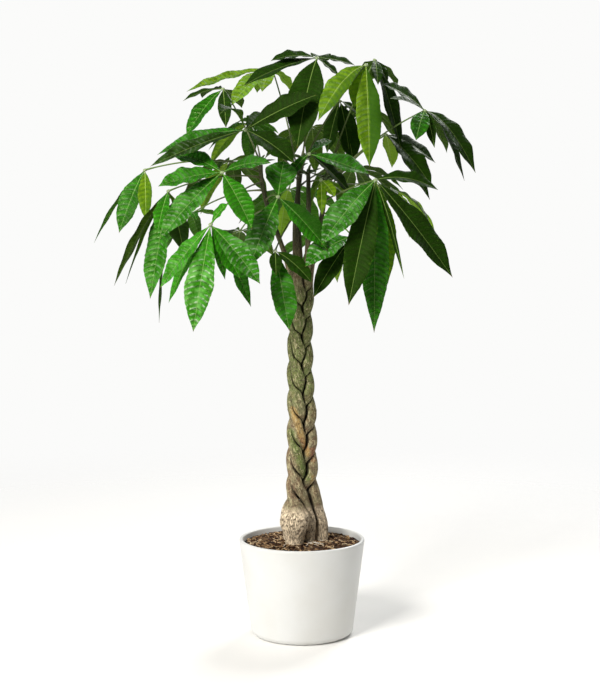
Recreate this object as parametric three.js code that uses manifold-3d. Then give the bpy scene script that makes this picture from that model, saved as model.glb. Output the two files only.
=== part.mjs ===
// Potted money tree with a plaited trunk.
// Millimetres, +Z up, the front of the plant toward -Y.
// The origin is the middle of the planter's underside.

import * as THREE from 'three';
import { mergeVertices } from 'three/addons/utils/BufferGeometryUtils.js';
import Module from 'manifold-3d';

const wasm = await Module();
wasm.setup();

// Planter.
const POT_HEIGHT = 197;
const RIM_RADIUS = 127.5;
const BASE_RADIUS = 103;
const BASE_ROUNDING = 14;
const WALL = 7.5;
const FLOOR = 10;
const POT_SIDES = 32;

// Soil.
const SOIL_LEVEL = 186;
const SOIL_BUMP = 1.6;
const GAP = 0.3;

// Plaited stems.
const STEM_COUNT = 5;
const STEM_SIDES = 8;
const STEM_RADIUS = 11.5;
const STEM_BOTTOM = 150;
const PLAIT_PITCH = 285;
const PLAIT_START = 451;
const PLAIT_TURN = 24 * Math.PI / 180;
const PLAIT_DEPTH = 13;
const PLAIT_TOP_WIDTH = 11.5;
const PLAIT_FOOT_WIDTH = 20;
const PLAIT_NARROW = 640;
const PLAIT_SWAY = -4;
const PLAIT_SQUARE = 0.05;
const PLAIT_TOP = 690;
const PLAIT_FOOT = 325;
const FOOT_LEVEL = 208;
const RING_STEP = 11;
const SHOOT_STEP = 30;
const SHOOT_LEVEL = 745;
const SHOOT_RADIUS = 4.2;

// Where each stem stands in the soil, how thick it is there and how much its foot swells above.
const SWELL_START = 192;
const SWELL_END = 290;
const FEET = [
  { x: 40, y: 16, radius: 13, swell: 3 },
  { x: -24, y: 12, radius: 14, swell: 7 },
  { x: -15, y: -21, radius: 19, swell: 15 },
  { x: 15, y: -1, radius: 11, swell: 6 },
  { x: 2, y: 31, radius: 15, swell: 5 },
];

// Where each stem ends up in the crown.
const TIPS = [
  { x: 2, y: -10, z: 968, bow: -12 },
  { x: -6, y: 12, z: 946, bow: -4 },
  { x: 46, y: 34, z: 930, bow: 4 },
  { x: 12, y: -16, z: 940, bow: 2 },
  { x: -82, y: 14, z: 962, bow: -6 },
];

// The front viewpoint, from which the leaves are laid out.
const EYE = new THREE.Vector3(0, -3200, 900);
const EYE_TILT = 5.7 * Math.PI / 180;
const SIGHT_REACH = 3200;
const SIGHT_MIDDLE = 566;

// Leaves.
const STALK_RADIUS = 1.7;
const STALK_SIDES = 5;
const STALK_STEPS = 4;
const STALK_LIFT = 0.14;
const HUB_RADIUS = 5;
const ROOT_START = 2.4;
const ROOT_WIDTH = 1.8;
const RIB_THICKNESS = 1.5;
const LEAFLET_FOLD = 0.16;
const LEAFLET_ARCH = 0.07;
const REAR_ARCH = 0.12;
const FRONT_OUTLINE = [[0, 0], [0.16, 0.4], [0.38, 0.86], [0.6, 1], [0.83, 0.68], [1, 0]];
const REAR_OUTLINE = [[0, 0], [0.2, 0.5], [0.52, 1], [0.8, 0.74], [1, 0]];

const COLOURS = {
  pot: 0xf1efe9,
  soil: 0x5d3621,
  bark: 0x75704c,
  deep: 0x2d4a1e,
  green: 0x2c6a26,
  lime: 0x7fa03c,
};

const up = new THREE.Vector3(0, 0, 1);

function lerp(a, b, t) {
  return a + (b - a) * t;
}

function smooth(value, low, high) {
  return THREE.MathUtils.smoothstep(value, low, high);
}

function toSolid(geometry) {
  const bare = geometry.index ? geometry.clone() : geometry;
  bare.deleteAttribute('normal');
  bare.deleteAttribute('uv');
  const merged = mergeVertices(bare, 1e-4);
  const mesh = new wasm.Mesh({
    numProp: 3,
    vertProperties: new Float32Array(merged.attributes.position.array),
    triVerts: new Uint32Array(merged.index.array),
  });
  return new wasm.Manifold(mesh);
}

function toGeometry(solid) {
  const mesh = solid.getMesh();
  const geometry = new THREE.BufferGeometry();
  geometry.setAttribute('position', new THREE.BufferAttribute(mesh.vertProperties, 3));
  geometry.setIndex(new THREE.BufferAttribute(mesh.triVerts, 1));
  geometry.computeVertexNormals();
  return geometry;
}

function makeMesh(name, solid, colour, roughness) {
  const material = new THREE.MeshStandardMaterial({ color: colour, roughness, metalness: 0 });
  const mesh = new THREE.Mesh(toGeometry(solid), material);
  mesh.name = name;
  return mesh;
}

// Planter: a lathed shell with a rounded lower edge and a rounded lip.

function outerRadius(z) {
  return lerp(BASE_RADIUS, RIM_RADIUS, z / POT_HEIGHT);
}

function innerRadius(z) {
  return outerRadius(z) - WALL;
}

function lathe(points) {
  const geometry = new THREE.LatheGeometry(points, POT_SIDES);
  geometry.rotateX(Math.PI / 2);
  return geometry;
}

function potSolid() {
  const points = [new THREE.Vector2(0, 0)];
  const edge = outerRadius(BASE_ROUNDING) - BASE_ROUNDING;
  for (let i = 0; i <= 3; i += 1) {
    const angle = (i / 3) * Math.PI / 2;
    const r = edge + BASE_ROUNDING * Math.sin(angle);
    points.push(new THREE.Vector2(r, BASE_ROUNDING * (1 - Math.cos(angle))));
  }
  points.push(new THREE.Vector2(outerRadius(100), 100));
  const lip = WALL / 2;
  const lipCentre = outerRadius(POT_HEIGHT - lip) - lip;
  for (let i = 0; i <= 3; i += 1) {
    const angle = (i / 3) * Math.PI;
    const r = lipCentre + lip * Math.cos(angle);
    points.push(new THREE.Vector2(r, POT_HEIGHT - lip + lip * Math.sin(angle)));
  }
  points.push(new THREE.Vector2(innerRadius(100), 100));
  points.push(new THREE.Vector2(innerRadius(FLOOR + 14), FLOOR + 14));
  points.push(new THREE.Vector2(innerRadius(FLOOR) - 10, FLOOR));
  points.push(new THREE.Vector2(0, FLOOR));
  return toSolid(lathe(points));
}

// Soil: fills the planter, with a slightly uneven, mounded top and holes for the stems.

function soilSolid(holes) {
  const side = (z) => innerRadius(z) - GAP;
  const floor = FLOOR + GAP;
  const points = [
    new THREE.Vector2(0, floor),
    new THREE.Vector2(side(floor) - 10.3, floor),
    new THREE.Vector2(side(FLOOR + 14) - 0.1, FLOOR + 14.4),
    new THREE.Vector2(side(100), 100),
    new THREE.Vector2(side(SOIL_LEVEL), SOIL_LEVEL),
  ];
  for (const r of [92, 62, 32, 0]) {
    points.push(new THREE.Vector2(r, SOIL_LEVEL + 4 * (1 - (r / 112) ** 2)));
  }
  const geometry = lathe(points);
  const position = geometry.attributes.position;
  for (let i = 0; i < position.count; i += 1) {
    const x = position.getX(i);
    const y = position.getY(i);
    const z = position.getZ(i);
    if (z > SOIL_LEVEL + 0.5) {
      const bump = Math.sin(x * 0.31 + 1.7) * Math.cos(y * 0.27) + Math.sin((x - y) * 0.17);
      position.setZ(i, z + SOIL_BUMP * bump);
    }
  }
  let solid = toSolid(geometry);
  for (const hole of holes) {
    solid = solid.subtract(hole);
  }
  return solid;
}

// Stems: five strands, each crossing over two others, pressed against one another.

function plaitPlace(index, z) {
  const angle = 2 * Math.PI * ((PLAIT_START - z) / PLAIT_PITCH + index / STEM_COUNT);
  const width = lerp(PLAIT_FOOT_WIDTH, PLAIT_TOP_WIDTH, smooth(z, 300, PLAIT_NARROW));
  const x = -width * (Math.cos(angle) - PLAIT_SQUARE * Math.cos(3 * angle)) / (1 - PLAIT_SQUARE);
  const y = -PLAIT_DEPTH * Math.sin(2 * angle);
  const cos = Math.cos(PLAIT_TURN);
  const sin = Math.sin(PLAIT_TURN);
  const sway = PLAIT_SWAY * smooth(z, 430, 560) * (1 - smooth(z, 640, 720));
  return new THREE.Vector2(cos * x - sin * y + sway, sin * x + cos * y);
}

function stemPlace(index, z) {
  const foot = FEET[index];
  const tip = TIPS[index];
  const place = plaitPlace(index, Math.min(Math.max(z, 250), PLAIT_TOP + 20));
  const rooted = 1 - smooth(z, FOOT_LEVEL, PLAIT_FOOT);
  place.lerp(new THREE.Vector2(foot.x, foot.y), rooted);
  const climb = THREE.MathUtils.clamp((z - PLAIT_TOP) / (tip.z - PLAIT_TOP), 0, 1);
  const loose = climb * climb * (3 - 2 * climb);
  place.lerp(new THREE.Vector2(tip.x, tip.y), loose);
  place.x += tip.bow * Math.sin(climb * Math.PI);
  return place;
}

function stemRadius(index, z) {
  const foot = FEET[index];
  const tip = TIPS[index];
  if (z < PLAIT_FOOT) {
    const rise = THREE.MathUtils.clamp((z - SWELL_START) / (SWELL_END - SWELL_START), 0, 1);
    const bulb = foot.swell * Math.sin(rise * Math.PI) ** 2;
    return lerp(foot.radius, STEM_RADIUS, smooth(z, SWELL_START, SWELL_END)) + bulb;
  }
  const thin = lerp(STEM_RADIUS, SHOOT_RADIUS + 1, smooth(z, PLAIT_TOP - 20, PLAIT_TOP + 110));
  const end = lerp(thin, SHOOT_RADIUS, smooth(z, PLAIT_TOP + 110, tip.z));
  return end * (z > tip.z - 2 ? 0.5 : 1);
}

function ringStep(z) {
  return z < SHOOT_LEVEL ? RING_STEP : SHOOT_STEP;
}

function stemHeights(index) {
  const heights = [STEM_BOTTOM];
  let z = 176;
  while (z < TIPS[index].z - 8) {
    heights.push(z);
    z += ringStep(z);
  }
  heights.push(TIPS[index].z - 3);
  heights.push(TIPS[index].z);
  return heights;
}

// How far a strand's surface lies from its middle, in one direction, before it meets another.
function stemReach(index, z, direction, extra) {
  const here = stemPlace(index, z);
  const own = stemRadius(index, z);
  let reach = own;
  for (let other = 0; other < STEM_COUNT; other += 1) {
    if (other === index || z > TIPS[other].z) {
      continue;
    }
    const away = stemPlace(other, z).sub(here);
    const distance = away.length();
    const half = ringStep(z) / 2;
    const drift = stemPlace(other, z + half).sub(stemPlace(index, z + half));
    drift.sub(stemPlace(other, z - half)).add(stemPlace(index, z - half));
    const margin = 1.4 * GAP + 2.6 * drift.lengthSq() / (8 * distance);
    const share = distance * own / (own + stemRadius(other, z)) - margin;
    const lean = direction.dot(away) / distance;
    if (lean > 0.05) {
      reach = Math.min(reach, share / lean);
    }
  }
  return reach + extra;
}

function stemSolid(index, extra) {
  const heights = stemHeights(index);
  const rows = heights.length - 1;
  const geometry = new THREE.CylinderGeometry(1, 1, 1, STEM_SIDES, rows);
  const position = geometry.attributes.position;
  for (let i = 0; i < position.count; i += 1) {
    const row = rows - Math.round((0.5 - position.getY(i)) * rows);
    const z = heights[row];
    const direction = new THREE.Vector2(position.getX(i), -position.getZ(i));
    const middle = stemPlace(index, z);
    let reach = 0;
    if (direction.length() > 0.5) {
      direction.normalize();
      reach = stemReach(index, z, direction, extra);
    }
    const end = (row === 0 ? -extra : 0) + (row === rows ? extra : 0);
    position.setXYZ(i, middle.x + direction.x * reach, middle.y + direction.y * reach, z + end);
  }
  return toSolid(geometry);
}

// Leaves: a stalk that ends in a small knob, and leaflets that spread from it like fingers.

function seen(across, height, toward) {
  const forward = new THREE.Vector3(0, Math.cos(EYE_TILT), -Math.sin(EYE_TILT));
  const rise = new THREE.Vector3(0, Math.sin(EYE_TILT), Math.cos(EYE_TILT));
  const ray = forward.multiplyScalar(SIGHT_REACH);
  ray.x += across;
  ray.addScaledVector(rise, height - SIGHT_MIDDLE);
  const t = (-toward - EYE.y) / ray.y;
  return EYE.clone().addScaledVector(ray, t);
}

// Splits the underside of a blade along the same diagonals as its upper side, so that a twisted
// blade keeps its thickness.
function matchUnderside(geometry) {
  const position = geometry.attributes.position;
  const index = geometry.index;
  for (let i = 0; i + 5 < index.count; i += 3) {
    const [a, b, d] = [index.getX(i), index.getX(i + 1), index.getX(i + 2)];
    const [after, c, last] = [index.getX(i + 3), index.getX(i + 4), index.getX(i + 5)];
    const low = position.getZ(a) + position.getZ(b) + position.getZ(c) + position.getZ(d);
    if (after === b && last === d && low < -1e-6) {
      index.setX(i + 2, c);
      index.setX(i + 3, a);
      index.setX(i + 4, c);
      index.setX(i + 5, d);
      i += 3;
    }
  }
}

function leafletSolid(hub, facing, outline, { tip, width, turn, arch }) {
  const length = tip.distanceTo(hub);
  const middle = hub.clone().add(tip).multiplyScalar(0.5);
  middle.z += 2 * arch * length;
  const root = hub.clone().addScaledVector(middle.clone().sub(hub).normalize(), ROOT_START);
  const rib = new THREE.QuadraticBezierCurve3(root, middle, tip);
  const rows = outline.length - 1;
  const geometry = new THREE.ConeGeometry(1, 1, 4, rows);
  matchUnderside(geometry);
  const position = geometry.attributes.position;
  for (let i = 0; i < position.count; i += 1) {
    const row = Math.round((position.getY(i) + 0.5) * rows);
    const [station, breadth] = outline[row];
    const along = rib.getTangent(station);
    const place = rib.getPoint(station);
    const normal = facing.clone().addScaledVector(along, -facing.dot(along)).normalize();
    normal.applyAxisAngle(along, turn * Math.PI / 180);
    const sideways = along.clone().cross(normal);
    const side = Math.abs(position.getX(i)) > 1e-6 ? Math.sign(position.getX(i)) : 0;
    const face = Math.abs(position.getZ(i)) > 1e-6 ? Math.sign(position.getZ(i)) : 0;
    const half = row === 0 ? ROOT_WIDTH / 2 : width * breadth / 2;
    const thick = face * RIB_THICKNESS / 2 * (row === rows ? 0 : 1 - 0.4 * station);
    place.addScaledVector(sideways, side * half);
    place.addScaledVector(normal, Math.abs(side) * half * LEAFLET_FOLD * 2 + thick);
    position.setXYZ(i, place.x, place.y, place.z);
  }
  return toSolid(geometry);
}

function stalkSolid(start, end, lift) {
  const reach = start.distanceTo(end);
  const middle = start.clone().lerp(end, 0.45);
  middle.z += lift * reach;
  const path = new THREE.QuadraticBezierCurve3(start, middle, end);
  const section = new THREE.Shape();
  for (let i = 0; i < STALK_SIDES; i += 1) {
    const angle = 2 * Math.PI * i / STALK_SIDES;
    const x = STALK_RADIUS * Math.cos(angle);
    const y = STALK_RADIUS * Math.sin(angle);
    if (i === 0) {
      section.moveTo(x, y);
    } else {
      section.lineTo(x, y);
    }
  }
  section.closePath();
  return toSolid(new THREE.ExtrudeGeometry(section, { steps: STALK_STEPS, extrudePath: path }));
}

function leafSolid(leaf, stemSleeves) {
  const base = stemPlace(leaf.stem, leaf.from);
  const start = new THREE.Vector3(base.x, base.y, leaf.from);
  let solid = stalkSolid(start, leaf.hub, leaf.lift ?? STALK_LIFT);
  const knob = new THREE.OctahedronGeometry(HUB_RADIUS, 0);
  knob.translate(leaf.hub.x, leaf.hub.y, leaf.hub.z);
  solid = solid.add(toSolid(knob));
  for (const leaflet of leaf.leaflets) {
    solid = solid.add(leafletSolid(leaf.hub, leaf.facing, leaf.outline, leaflet));
  }
  return solid.subtract(stemSleeves[leaf.stem]);
}

// Each leaflet: its tip across, up and toward the front, its width, and where it differs,
// how far it is turned about its midrib in degrees and how high it arches.
const LEAVES = [
  {
    name: 'leaf_01', tone: 'deep', stem: 0, from: 956, hub: [30, 1150, 10], facing: [0, -0.45, 0.9],
    leaflets: [
      [-63, 1144, 20, 40, 0, 0.08], [-118, 1094, 50, 48, 0, 0.05], [-10, 970, 80, 72, 0, 0.1],
      [106, 1135, 10, 30, 0, 0.05], [74, 1114, 10, 24, 0, 0.03], [44, 1140, -110, 44],
    ],
  },
  {
    name: 'leaf_02', tone: 'lime', stem: 1, from: 936, hub: [128, 1136, 40], facing: [0.1, -0.5, 0.85],
    leaflets: [
      [32, 1024, 90, 48, 0, 0.13], [135, 931, 90, 52], [104, 1050, 20, 40], [92, 1094, -40, 36],
    ],
  },
  {
    name: 'leaf_03', tone: 'deep', stem: 2, from: 916, hub: [146, 1146, -40], facing: [0.2, -0.3, 0.9],
    leaflets: [
      [152, 1096, 30, 24], [171, 1101, -20, 24, 0, 0.1], [198, 968, -20, 46],
      [190, 1090, -110, 40], [130, 1100, -120, 40],
    ],
  },
  {
    name: 'leaf_04', tone: 'deep', stem: 2, from: 906, hub: [246, 1045, 10], facing: [0.15, -0.4, 0.9],
    leaflets: [
      [347, 920, 40, 54, 0, 0.14], [325, 904, -40, 46, 0, 0.13], [228, 985, 70, 38],
      [265, 970, 40, 22, 50, 0.12], [158, 1099, -10, 44], [176, 1069, 50, 28], [290, 960, -90, 40],
    ],
  },
  {
    name: 'leaf_05', tone: 'green', stem: 2, from: 878, lift: 0.05,
    hub: [147, 906, 110], facing: [0.1, -0.6, 0.8],
    leaflets: [
      [301, 711, 150, 62, 0, 0.03], [93, 655, 190, 58, 0, 0.03], [38, 776, 190, 60, 0, 0.04],
      [272, 886, 80, 42, 0, 0.1], [172, 698, 60, 52], [144, 600, 120, 56], [204, 708, 110, 12, 60],
    ],
  },
  {
    name: 'leaf_06', tone: 'green', stem: 0, from: 940, hub: [14, 958, 50], facing: [0, -0.6, 0.8],
    leaflets: [
      [135, 918, 70, 48, 0, 0.02], [100, 876, 5, 38, 0, 0.04], [-30, 905, 70, 24], [60, 985, 0, 24],
    ],
  },
  {
    name: 'leaf_07', tone: 'green', stem: 4, from: 935, hub: [-160, 921, 100], facing: [-0.1, -0.6, 0.8],
    leaflets: [
      [-288, 893, 130, 54, 0, 0.04], [-62, 940, 120, 40], [-284, 788, 170, 58, 0, 0.04],
      [-100, 808, 190, 48, 0, 0.04], [-262, 956, 40, 44],
    ],
  },
  {
    name: 'leaf_08', tone: 'green', stem: 4, from: 915, hub: [-183, 817, 180], facing: [-0.1, -0.6, 0.8],
    leaflets: [
      [-218, 602, 215, 58, 0, 0.03], [-284, 690, 190, 42, 0, 0.03], [-84, 698, 230, 50, 0, 0.035],
      [-124, 708, 168, 42, 0, 0.03], [-148, 858, 190, 26], [-154, 706, 140, 22],
      [-267, 660, 120, 36], [-102, 652, 80, 42],
    ],
  },
  {
    name: 'leaf_09', tone: 'green', stem: 4, from: 880, hub: [-48, 872, 80], facing: [0, -0.6, 0.8],
    leaflets: [
      [-104, 734, 130, 60, 0, 0.03], [51, 765, 110, 52, 0, 0.04], [-60, 800, 0, 38],
      [-36, 944, 60, 64],
    ],
  },
  {
    name: 'leaf_10', tone: 'lime', stem: 4, from: 945, hub: [-314, 926, -30], facing: [-0.2, -0.4, 0.9],
    leaflets: [
      [-366, 800, -10, 46, -25], [-416, 780, -40, 20, 50], [-312, 824, 20, 30], [-340, 860, -100, 36],
    ],
  },
  {
    name: 'leaf_11', tone: 'deep', stem: 4, from: 925, hub: [-267, 884, 50], facing: [-0.2, -0.5, 0.85],
    leaflets: [
      [-376, 694, 50, 30, 70], [-353, 698, 90, 24, 60], [-290, 798, 110, 32],
      [-304, 668, 80, 52, 0, 0.02], [-286, 620, 40, 28, 40, 0.02], [-236, 760, -10, 50],
    ],
  },
  {
    name: 'leaf_12', tone: 'deep', stem: 0, from: 925, hub: [-113, 1006, 60], facing: [-0.1, -0.5, 0.85],
    leaflets: [
      [-290, 956, 50, 44, 0, 0.06], [-304, 933, 120, 48, 0, 0.03], [-165, 1037, 130, 46, 0, 0.26],
      [-15, 939, 130, 56, 0, 0.05], [28, 1076, 90, 54, 25, 0.03], [-56, 1034, -30, 54],
    ],
  },
  {
    name: 'leaf_13', tone: 'deep', stem: 4, from: 952, hub: [-158, 1088, -40], facing: [-0.1, -0.4, 0.9],
    leaflets: [
      [-238, 1064, -30, 24], [-232, 992, 10, 44], [-152, 1010, 30, 28],
      [-200, 1070, -120, 36], [-120, 1050, -130, 36],
    ],
  },
  {
    name: 'leaf_14', tone: 'lime', stem: 1, from: 925, hub: [-60, 1130, -90], facing: [0, -0.4, 0.9],
    leaflets: [
      [-231, 1083, -60, 40, 0, 0.03], [-142, 1054, -10, 46], [-80, 1082, -10, 34],
      [-20, 1080, -170, 36], [-90, 1080, -200, 38],
    ],
  },
  {
    name: 'leaf_15', tone: 'deep', stem: 0, from: 850, hub: [-54, 764, 110], facing: [0.1, -0.6, 0.8],
    leaflets: [
      [20, 700, 140, 40], [-26, 605, 160, 50, 0, 0.02], [-52, 716, 152, 26],
    ],
  },
  {
    name: 'leaf_16', tone: 'deep', stem: 2, from: 856, lift: 0.1, hub: [101, 793, 62], facing: [0, -0.6, 0.8],
    leaflets: [
      [23, 671, 90, 46, 0, 0.04], [96, 702, 80, 26], [6, 732, 128, 54], [160, 720, 0, 40],
      [130, 760, -60, 36],
    ],
  },
  {
    name: 'leaf_17', tone: 'lime', stem: 3, from: 915, hub: [38, 906, 12], facing: [0, -0.6, 0.8],
    leaflets: [
      [40, 836, 30, 20], [66, 872, 40, 24], [92, 872, -20, 24], [14, 846, -30, 26],
    ],
  },
  {
    name: 'leaf_18', tone: 'deep', stem: 2, from: 892, hub: [168, 997, -45], facing: [0.15, -0.5, 0.85],
    leaflets: [
      [260, 892, 0, 54], [267, 940, -75, 46], [256, 866, -65, 42], [226, 938, -150, 36],
      [180, 930, -150, 36],
    ],
  },
  {
    name: 'leaf_19', tone: 'deep', stem: 1, from: 930, hub: [76, 1064, -80], facing: [0, -0.4, 0.9],
    leaflets: [
      [104, 936, -70, 48], [94, 968, -60, 26], [120, 1032, -50, 24], [40, 1040, -170, 40],
      [50, 960, -90, 38],
    ],
  },
];

// Leaves of the rear half: name, tone, stem, height on the stem, hub, heading in degrees from +X,
// leaflet length and count.
const REAR_LEAVES = [
  ['leaf_20', 'deep', 4, 940, [-150, 150, 960], 130, 150, 7],
  ['leaf_21', 'green', 1, 915, [-28, 252, 902], 100, 160, 7],
  ['leaf_22', 'deep', 1, 905, [110, 205, 945], 60, 150, 7],
  ['leaf_23', 'deep', 2, 900, [190, 150, 900], 35, 140, 6],
  ['leaf_24', 'green', 4, 900, [-230, 100, 850], 160, 130, 6],
  ['leaf_25', 'deep', 1, 942, [20, 130, 1030], 85, 140, 7],
  ['leaf_26', 'green', 4, 957, [-110, 190, 1040], 120, 130, 6],
  ['leaf_27', 'deep', 2, 926, [130, 160, 1070], 50, 120, 6],
  ['leaf_28', 'green', 2, 850, [60, 190, 800], 80, 150, 7],
  ['leaf_29', 'deep', 4, 860, [-130, 180, 815], 125, 140, 6],
];

function draw(seed) {
  const value = Math.sin(seed * 12.9898) * 43758.5453;
  return value - Math.floor(value);
}

function frontLeaf(leaf) {
  const hub = seen(...leaf.hub);
  const leaflets = leaf.leaflets.map(([across, height, toward, width, turn = 0, arch = LEAFLET_ARCH]) => ({
    tip: seen(across, height, toward), width, turn, arch,
  }));
  const facing = new THREE.Vector3(...leaf.facing).normalize();
  return { ...leaf, hub, facing, leaflets, outline: FRONT_OUTLINE };
}

function rearLeaf([name, tone, stem, from, place, degrees, reach, count], order) {
  const hub = new THREE.Vector3(...place);
  const heading = degrees * Math.PI / 180;
  const outward = new THREE.Vector3(Math.cos(heading), Math.sin(heading), 0);
  const facing = outward.clone().multiplyScalar(0.45).addScaledVector(up, 0.9).normalize();
  const forward = outward.clone().addScaledVector(facing, -outward.dot(facing)).normalize();
  const leaflets = [];
  for (let i = 0; i < count; i += 1) {
    const fan = (i / (count - 1) - 0.5) * 4.5;
    const vary = draw(order * 17 + i);
    const length = reach * (1 - 0.09 * fan * fan) * (0.92 + 0.16 * vary);
    const direction = forward.clone().applyAxisAngle(facing, fan);
    direction.addScaledVector(up, -0.35 - 0.3 * draw(order * 31 + i)).normalize();
    const tip = hub.clone().addScaledVector(direction, length);
    leaflets.push({ tip, width: length * 0.28, turn: 16 * (vary - 0.5), arch: REAR_ARCH });
  }
  return { name, tone, stem, from, hub, facing, leaflets, outline: REAR_OUTLINE };
}

function buildPlant() {
  const plant = new THREE.Group();
  const sleeves = [];
  for (let index = 0; index < STEM_COUNT; index += 1) {
    sleeves.push(stemSolid(index, GAP));
  }
  plant.add(makeMesh('pot', potSolid(), COLOURS.pot, 0.4));
  plant.add(makeMesh('soil', soilSolid(sleeves), COLOURS.soil, 0.95));
  for (let index = 0; index < STEM_COUNT; index += 1) {
    plant.add(makeMesh(`stem_${index + 1}`, stemSolid(index, 0), COLOURS.bark, 0.8));
  }
  const leaves = LEAVES.map(frontLeaf).concat(REAR_LEAVES.map(rearLeaf));
  for (const leaf of leaves) {
    plant.add(makeMesh(leaf.name, leafSolid(leaf, sleeves), COLOURS[leaf.tone], 0.45));
  }
  return plant;
}

export default buildPlant();
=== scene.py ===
"""Potted money tree with a plaited trunk, dressed piece by piece.

The sizes below are in millimetres and become metres where a mesh is made. +Z is up, the front of
the plant is toward -Y, and the origin is the middle of the planter's underside.
"""
import logging
import math
import random
from dataclasses import dataclass, field, replace
from enum import Enum
from typing import Any, Sequence

import bpy
import numpy as np
from mathutils import Matrix, Vector, noise


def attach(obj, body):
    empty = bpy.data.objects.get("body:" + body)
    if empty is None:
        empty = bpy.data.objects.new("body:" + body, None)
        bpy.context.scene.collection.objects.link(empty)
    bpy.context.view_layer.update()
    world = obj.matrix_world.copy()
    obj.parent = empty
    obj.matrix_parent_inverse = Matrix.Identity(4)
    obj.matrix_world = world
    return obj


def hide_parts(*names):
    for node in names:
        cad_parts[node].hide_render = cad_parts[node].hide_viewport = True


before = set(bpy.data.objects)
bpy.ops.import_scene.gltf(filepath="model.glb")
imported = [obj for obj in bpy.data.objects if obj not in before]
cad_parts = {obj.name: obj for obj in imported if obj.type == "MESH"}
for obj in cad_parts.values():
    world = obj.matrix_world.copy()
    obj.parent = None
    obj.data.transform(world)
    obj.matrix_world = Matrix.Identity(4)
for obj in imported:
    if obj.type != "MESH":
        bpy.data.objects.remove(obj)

LOG = logging.getLogger("money_tree")
MM = 0.001
ROOT = "root"
UP = np.array((0.0, 0.0, 1.0))


class Tone(Enum):
    """The three greens that the leaves come in."""

    DEEP = "leaf_dark"
    GREEN = "leaf_green"
    LIME = "leaf_pale"


def blend(low: Any, high: Any, share: Any) -> Any:
    """Returns the value that lies that share of the way from low to high."""
    return low + (high - low) * share


def ease(value: Any, low: float, high: float) -> Any:
    """Returns a smooth step from 0 at low to 1 at high."""
    t = np.clip((value - low) / (high - low), 0.0, 1.0)
    return t * t * (3 - 2 * t)


def between(value: Any, start: float, full: float, fading: float, end: float) -> Any:
    """Returns a smooth step from 0 at start to 1 at full, and back from 1 at fading to 0 at end."""
    return ease(value, start, full) * (1 - ease(value, fading, end))


def progress(value: float, low: float, high: float) -> float:
    """Returns how far a value has come from low to high, kept within 0 and 1."""
    return min(max((value - low) / (high - low), 0.0), 1.0)


def unit(vector: np.ndarray) -> np.ndarray:
    """Returns the vector at length 1."""
    return vector / max(float(np.linalg.norm(vector)), 1e-9)


def units(rows: np.ndarray) -> np.ndarray:
    """Returns the vectors, one row each, at length 1."""
    return rows / np.linalg.norm(rows, axis=1, keepdims=True)


def turned(vector: np.ndarray, axis: np.ndarray, angle: float) -> np.ndarray:
    """Returns the vector turned about a unit axis by an angle in radians."""
    along = axis * float(np.dot(axis, vector))
    return along + (vector - along) * math.cos(angle) + np.cross(axis, vector) * math.sin(angle)


def bowed(start: np.ndarray, middle: np.ndarray, end: np.ndarray, t: np.ndarray) -> np.ndarray:
    """Returns the points at t, a column from 0 to 1, of a curve that bends toward middle."""
    return (1 - t) ** 2 * start + 2 * t * (1 - t) * middle + t * t * end


def circle(sides: int) -> np.ndarray:
    """Returns points on a flat circle of radius 1, one row each."""
    angles = np.arange(sides) * 2 * math.pi / sides
    return np.stack([np.cos(angles), np.sin(angles)], 1)


def level_ring(radius: float, z: float, sides: int) -> np.ndarray:
    """Returns points on a level circle about the upright axis."""
    return np.column_stack([circle(sides) * radius, np.full(sides, z)])


def draw(seed: float) -> float:
    """Returns a fixed number from 0 to 1 for a seed."""
    value = math.sin(seed * 12.9898) * 43758.5453
    return value - math.floor(value)


def paint(code: str) -> tuple[float, float, float, float]:
    """Turns a colour written as six hex digits into the shader's linear colour.

    Args:
        code: The colour, such as "f1efe9".

    Returns:
        Red, green, blue and a full alpha.
    """
    parts = [int(code[i:i + 2], 16) / 255 for i in (0, 2, 4)]
    linear = [p / 12.92 if p <= 0.04045 else ((p + 0.055) / 1.055) ** 2.4 for p in parts]
    return (linear[0], linear[1], linear[2], 1.0)


# Materials.


class Signal:
    """A socket that is used like a number, so that shader maths reads as an expression."""

    def __init__(self, bench: "Bench", socket: bpy.types.NodeSocket) -> None:
        """Keeps the socket and the bench that it belongs to."""
        self.bench = bench
        self.socket = socket

    def maths(self, operation: str, *values: Any) -> "Signal":
        """Adds one Math node.

        Args:
            operation: The Math node's operation.
            values: What goes into its sockets, in order.

        Returns:
            The node's result.
        """
        return self.bench.signal("ShaderNodeMath", {"operation": operation}, dict(enumerate(values)))

    def __add__(self, other: Any) -> "Signal":
        """Returns self + other."""
        return self.maths("ADD", self, other)

    __radd__ = __add__

    def __sub__(self, other: Any) -> "Signal":
        """Returns self - other."""
        return self.maths("SUBTRACT", self, other)

    def __rsub__(self, other: Any) -> "Signal":
        """Returns other - self."""
        return self.maths("SUBTRACT", other, self)

    def __mul__(self, other: Any) -> "Signal":
        """Returns self * other."""
        return self.maths("MULTIPLY", self, other)

    __rmul__ = __mul__

    def __truediv__(self, other: Any) -> "Signal":
        """Returns self / other."""
        return self.maths("DIVIDE", self, other)

    def size(self) -> "Signal":
        """Returns the value without its sign."""
        return self.maths("ABSOLUTE", self)

    def part(self) -> "Signal":
        """Returns what is left above the whole number."""
        return self.maths("FRACT", self)

    def rise(self, low: float, high: float) -> "Signal":
        """Returns a smooth step from 0 at low to 1 at high."""
        settings = {"interpolation_type": "SMOOTHSTEP"}
        return self.bench.signal("ShaderNodeMapRange", settings, {"Value": self, 1: low, 2: high})


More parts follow.
